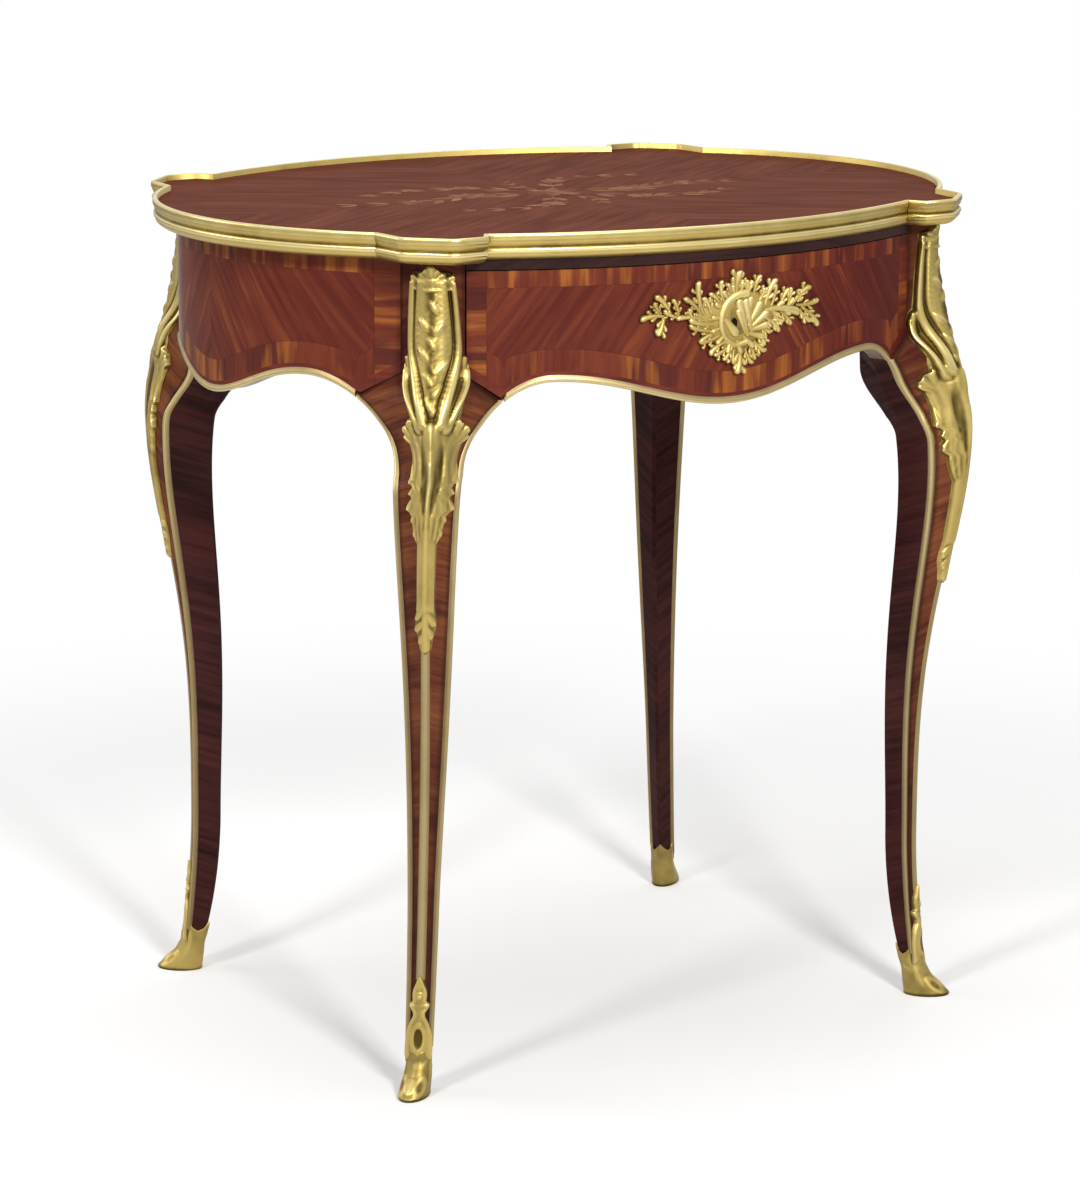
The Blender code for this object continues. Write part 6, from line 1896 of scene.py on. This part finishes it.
def make_world():
    """White to the camera and to mirror-like rays, softer as a light."""
    world = bpy.data.worlds.new("studio")
    bpy.context.scene.world = world
    world.use_nodes = True
    tree = world.node_tree
    path = tree.nodes.new("ShaderNodeLightPath").outputs
    mirrored = maths(tree, "MAXIMUM", path["Is Glossy Ray"], path["Is Transmission Ray"])
    seen = maths(tree, "MAXIMUM", path["Is Camera Ray"], mirrored)
    strength = maths(tree, "ADD", WORLD_LIGHT, maths(tree, "MULTIPLY", seen, 1.0 - WORLD_LIGHT))
    background = tree.nodes["Background"]
    background.inputs["Color"].default_value = (1.0, 1.0, 1.0, 1.0)
    tree.links.new(strength, background.inputs["Strength"])


WORLD_LIGHT = 0.25
# Soft lamps: place, size and power in watts
LAMPS = {
    "key": ((-0.65, -3.3, 2.4), 0.6, 104.0),
    "fill": ((-2.9, -1.2, 2.9), 0.5, 50.0),
    "overhead": ((0.2, 0.4, 3.0), 2.0, 38.0),
    "rear": ((-2.6, 2.0, 1.8), 1.6, 18.0)}


def make_lamps():
    """Soft square lamps that face the table."""
    for name, (place, size, power) in LAMPS.items():
        light = bpy.data.lights.new(name, "AREA")
        light.shape = "SQUARE"
        light.size = size
        light.energy = power
        lamp = bpy.data.objects.new(name, light)
        aim = unit(np.array((0.0, 0.0, 0.45)) - np.array(place))
        right = unit(np.cross(aim, (0.0, 0.0, 1.0)) if abs(aim[2]) < 0.99 else np.array((1.0, 0.0, 0.0)))
        up = np.cross(right, aim)
        turn = np.eye(4)
        turn[:3, 0], turn[:3, 1], turn[:3, 2], turn[:3, 3] = right, up, -aim, place
        lamp.matrix_world = Matrix(turn.tolist())
        bpy.context.scene.collection.objects.link(lamp)


def make_camera():
    """The photo's camera."""
    flat = math.cos(CAMERA_PITCH)
    aim = np.array([math.sin(CAMERA_YAW) * flat, math.cos(CAMERA_YAW) * flat, -math.sin(CAMERA_PITCH)])
    level = np.array([math.cos(CAMERA_YAW), -math.sin(CAMERA_YAW), 0.0])
    over = np.cross(level, aim)
    right = level * math.cos(CAMERA_ROLL) + over * math.sin(CAMERA_ROLL)
    up = over * math.cos(CAMERA_ROLL) - level * math.sin(CAMERA_ROLL)
    turn = np.eye(4)
    turn[:3, 0], turn[:3, 1], turn[:3, 2], turn[:3, 3] = right, up, -aim, CAMERA_PLACE
    lens = bpy.data.cameras.new("camera")
    lens.sensor_width = SENSOR
    lens.lens = FOCAL_PIXELS * SENSOR / PICTURE_HEIGHT
    lens.clip_end = 100.0
    camera = bpy.data.objects.new("camera", lens)
    camera.matrix_world = Matrix(turn.tolist())
    bpy.context.scene.collection.objects.link(camera)
    bpy.context.scene.camera = camera


def main():
    """Build the looks round the frame."""
    wood = wood_group()
    gilding = gilt_group()
    gilt = gilt_material(gilding, "gilt_bronze_chased")
    matt = gilt_material(gilding, "gilt_bronze_matt", 0.14)
    worn = fillet_material(gilding)
    rail = dress_nodes(wood)
    # The keyhole's plug takes a dark material: painted shadow in the hole, not a metal part
    dark = plain_metal("keyhole_painted_shadow", KEYHOLE_SHADOW_TONE, 0.6)
    make_rim(gilt)
    make_rim_pins(gilt)
    make_top_sheet(top_material(wood))
    make_inlay(inlay_material(wood))
    make_legs(leg_material(wood))
    make_leg_fillets(worn)
    make_chutes(gilt)
    make_sabots(gilt)
    make_frieze(frieze_material(wood), worn)
    make_rail_facing(rail)
    make_escutcheon(matt, dark)
    make_floor()
    make_world()
    make_lamps()
    make_camera()
    bpy.context.scene.view_settings.view_transform = "Standard"


main()
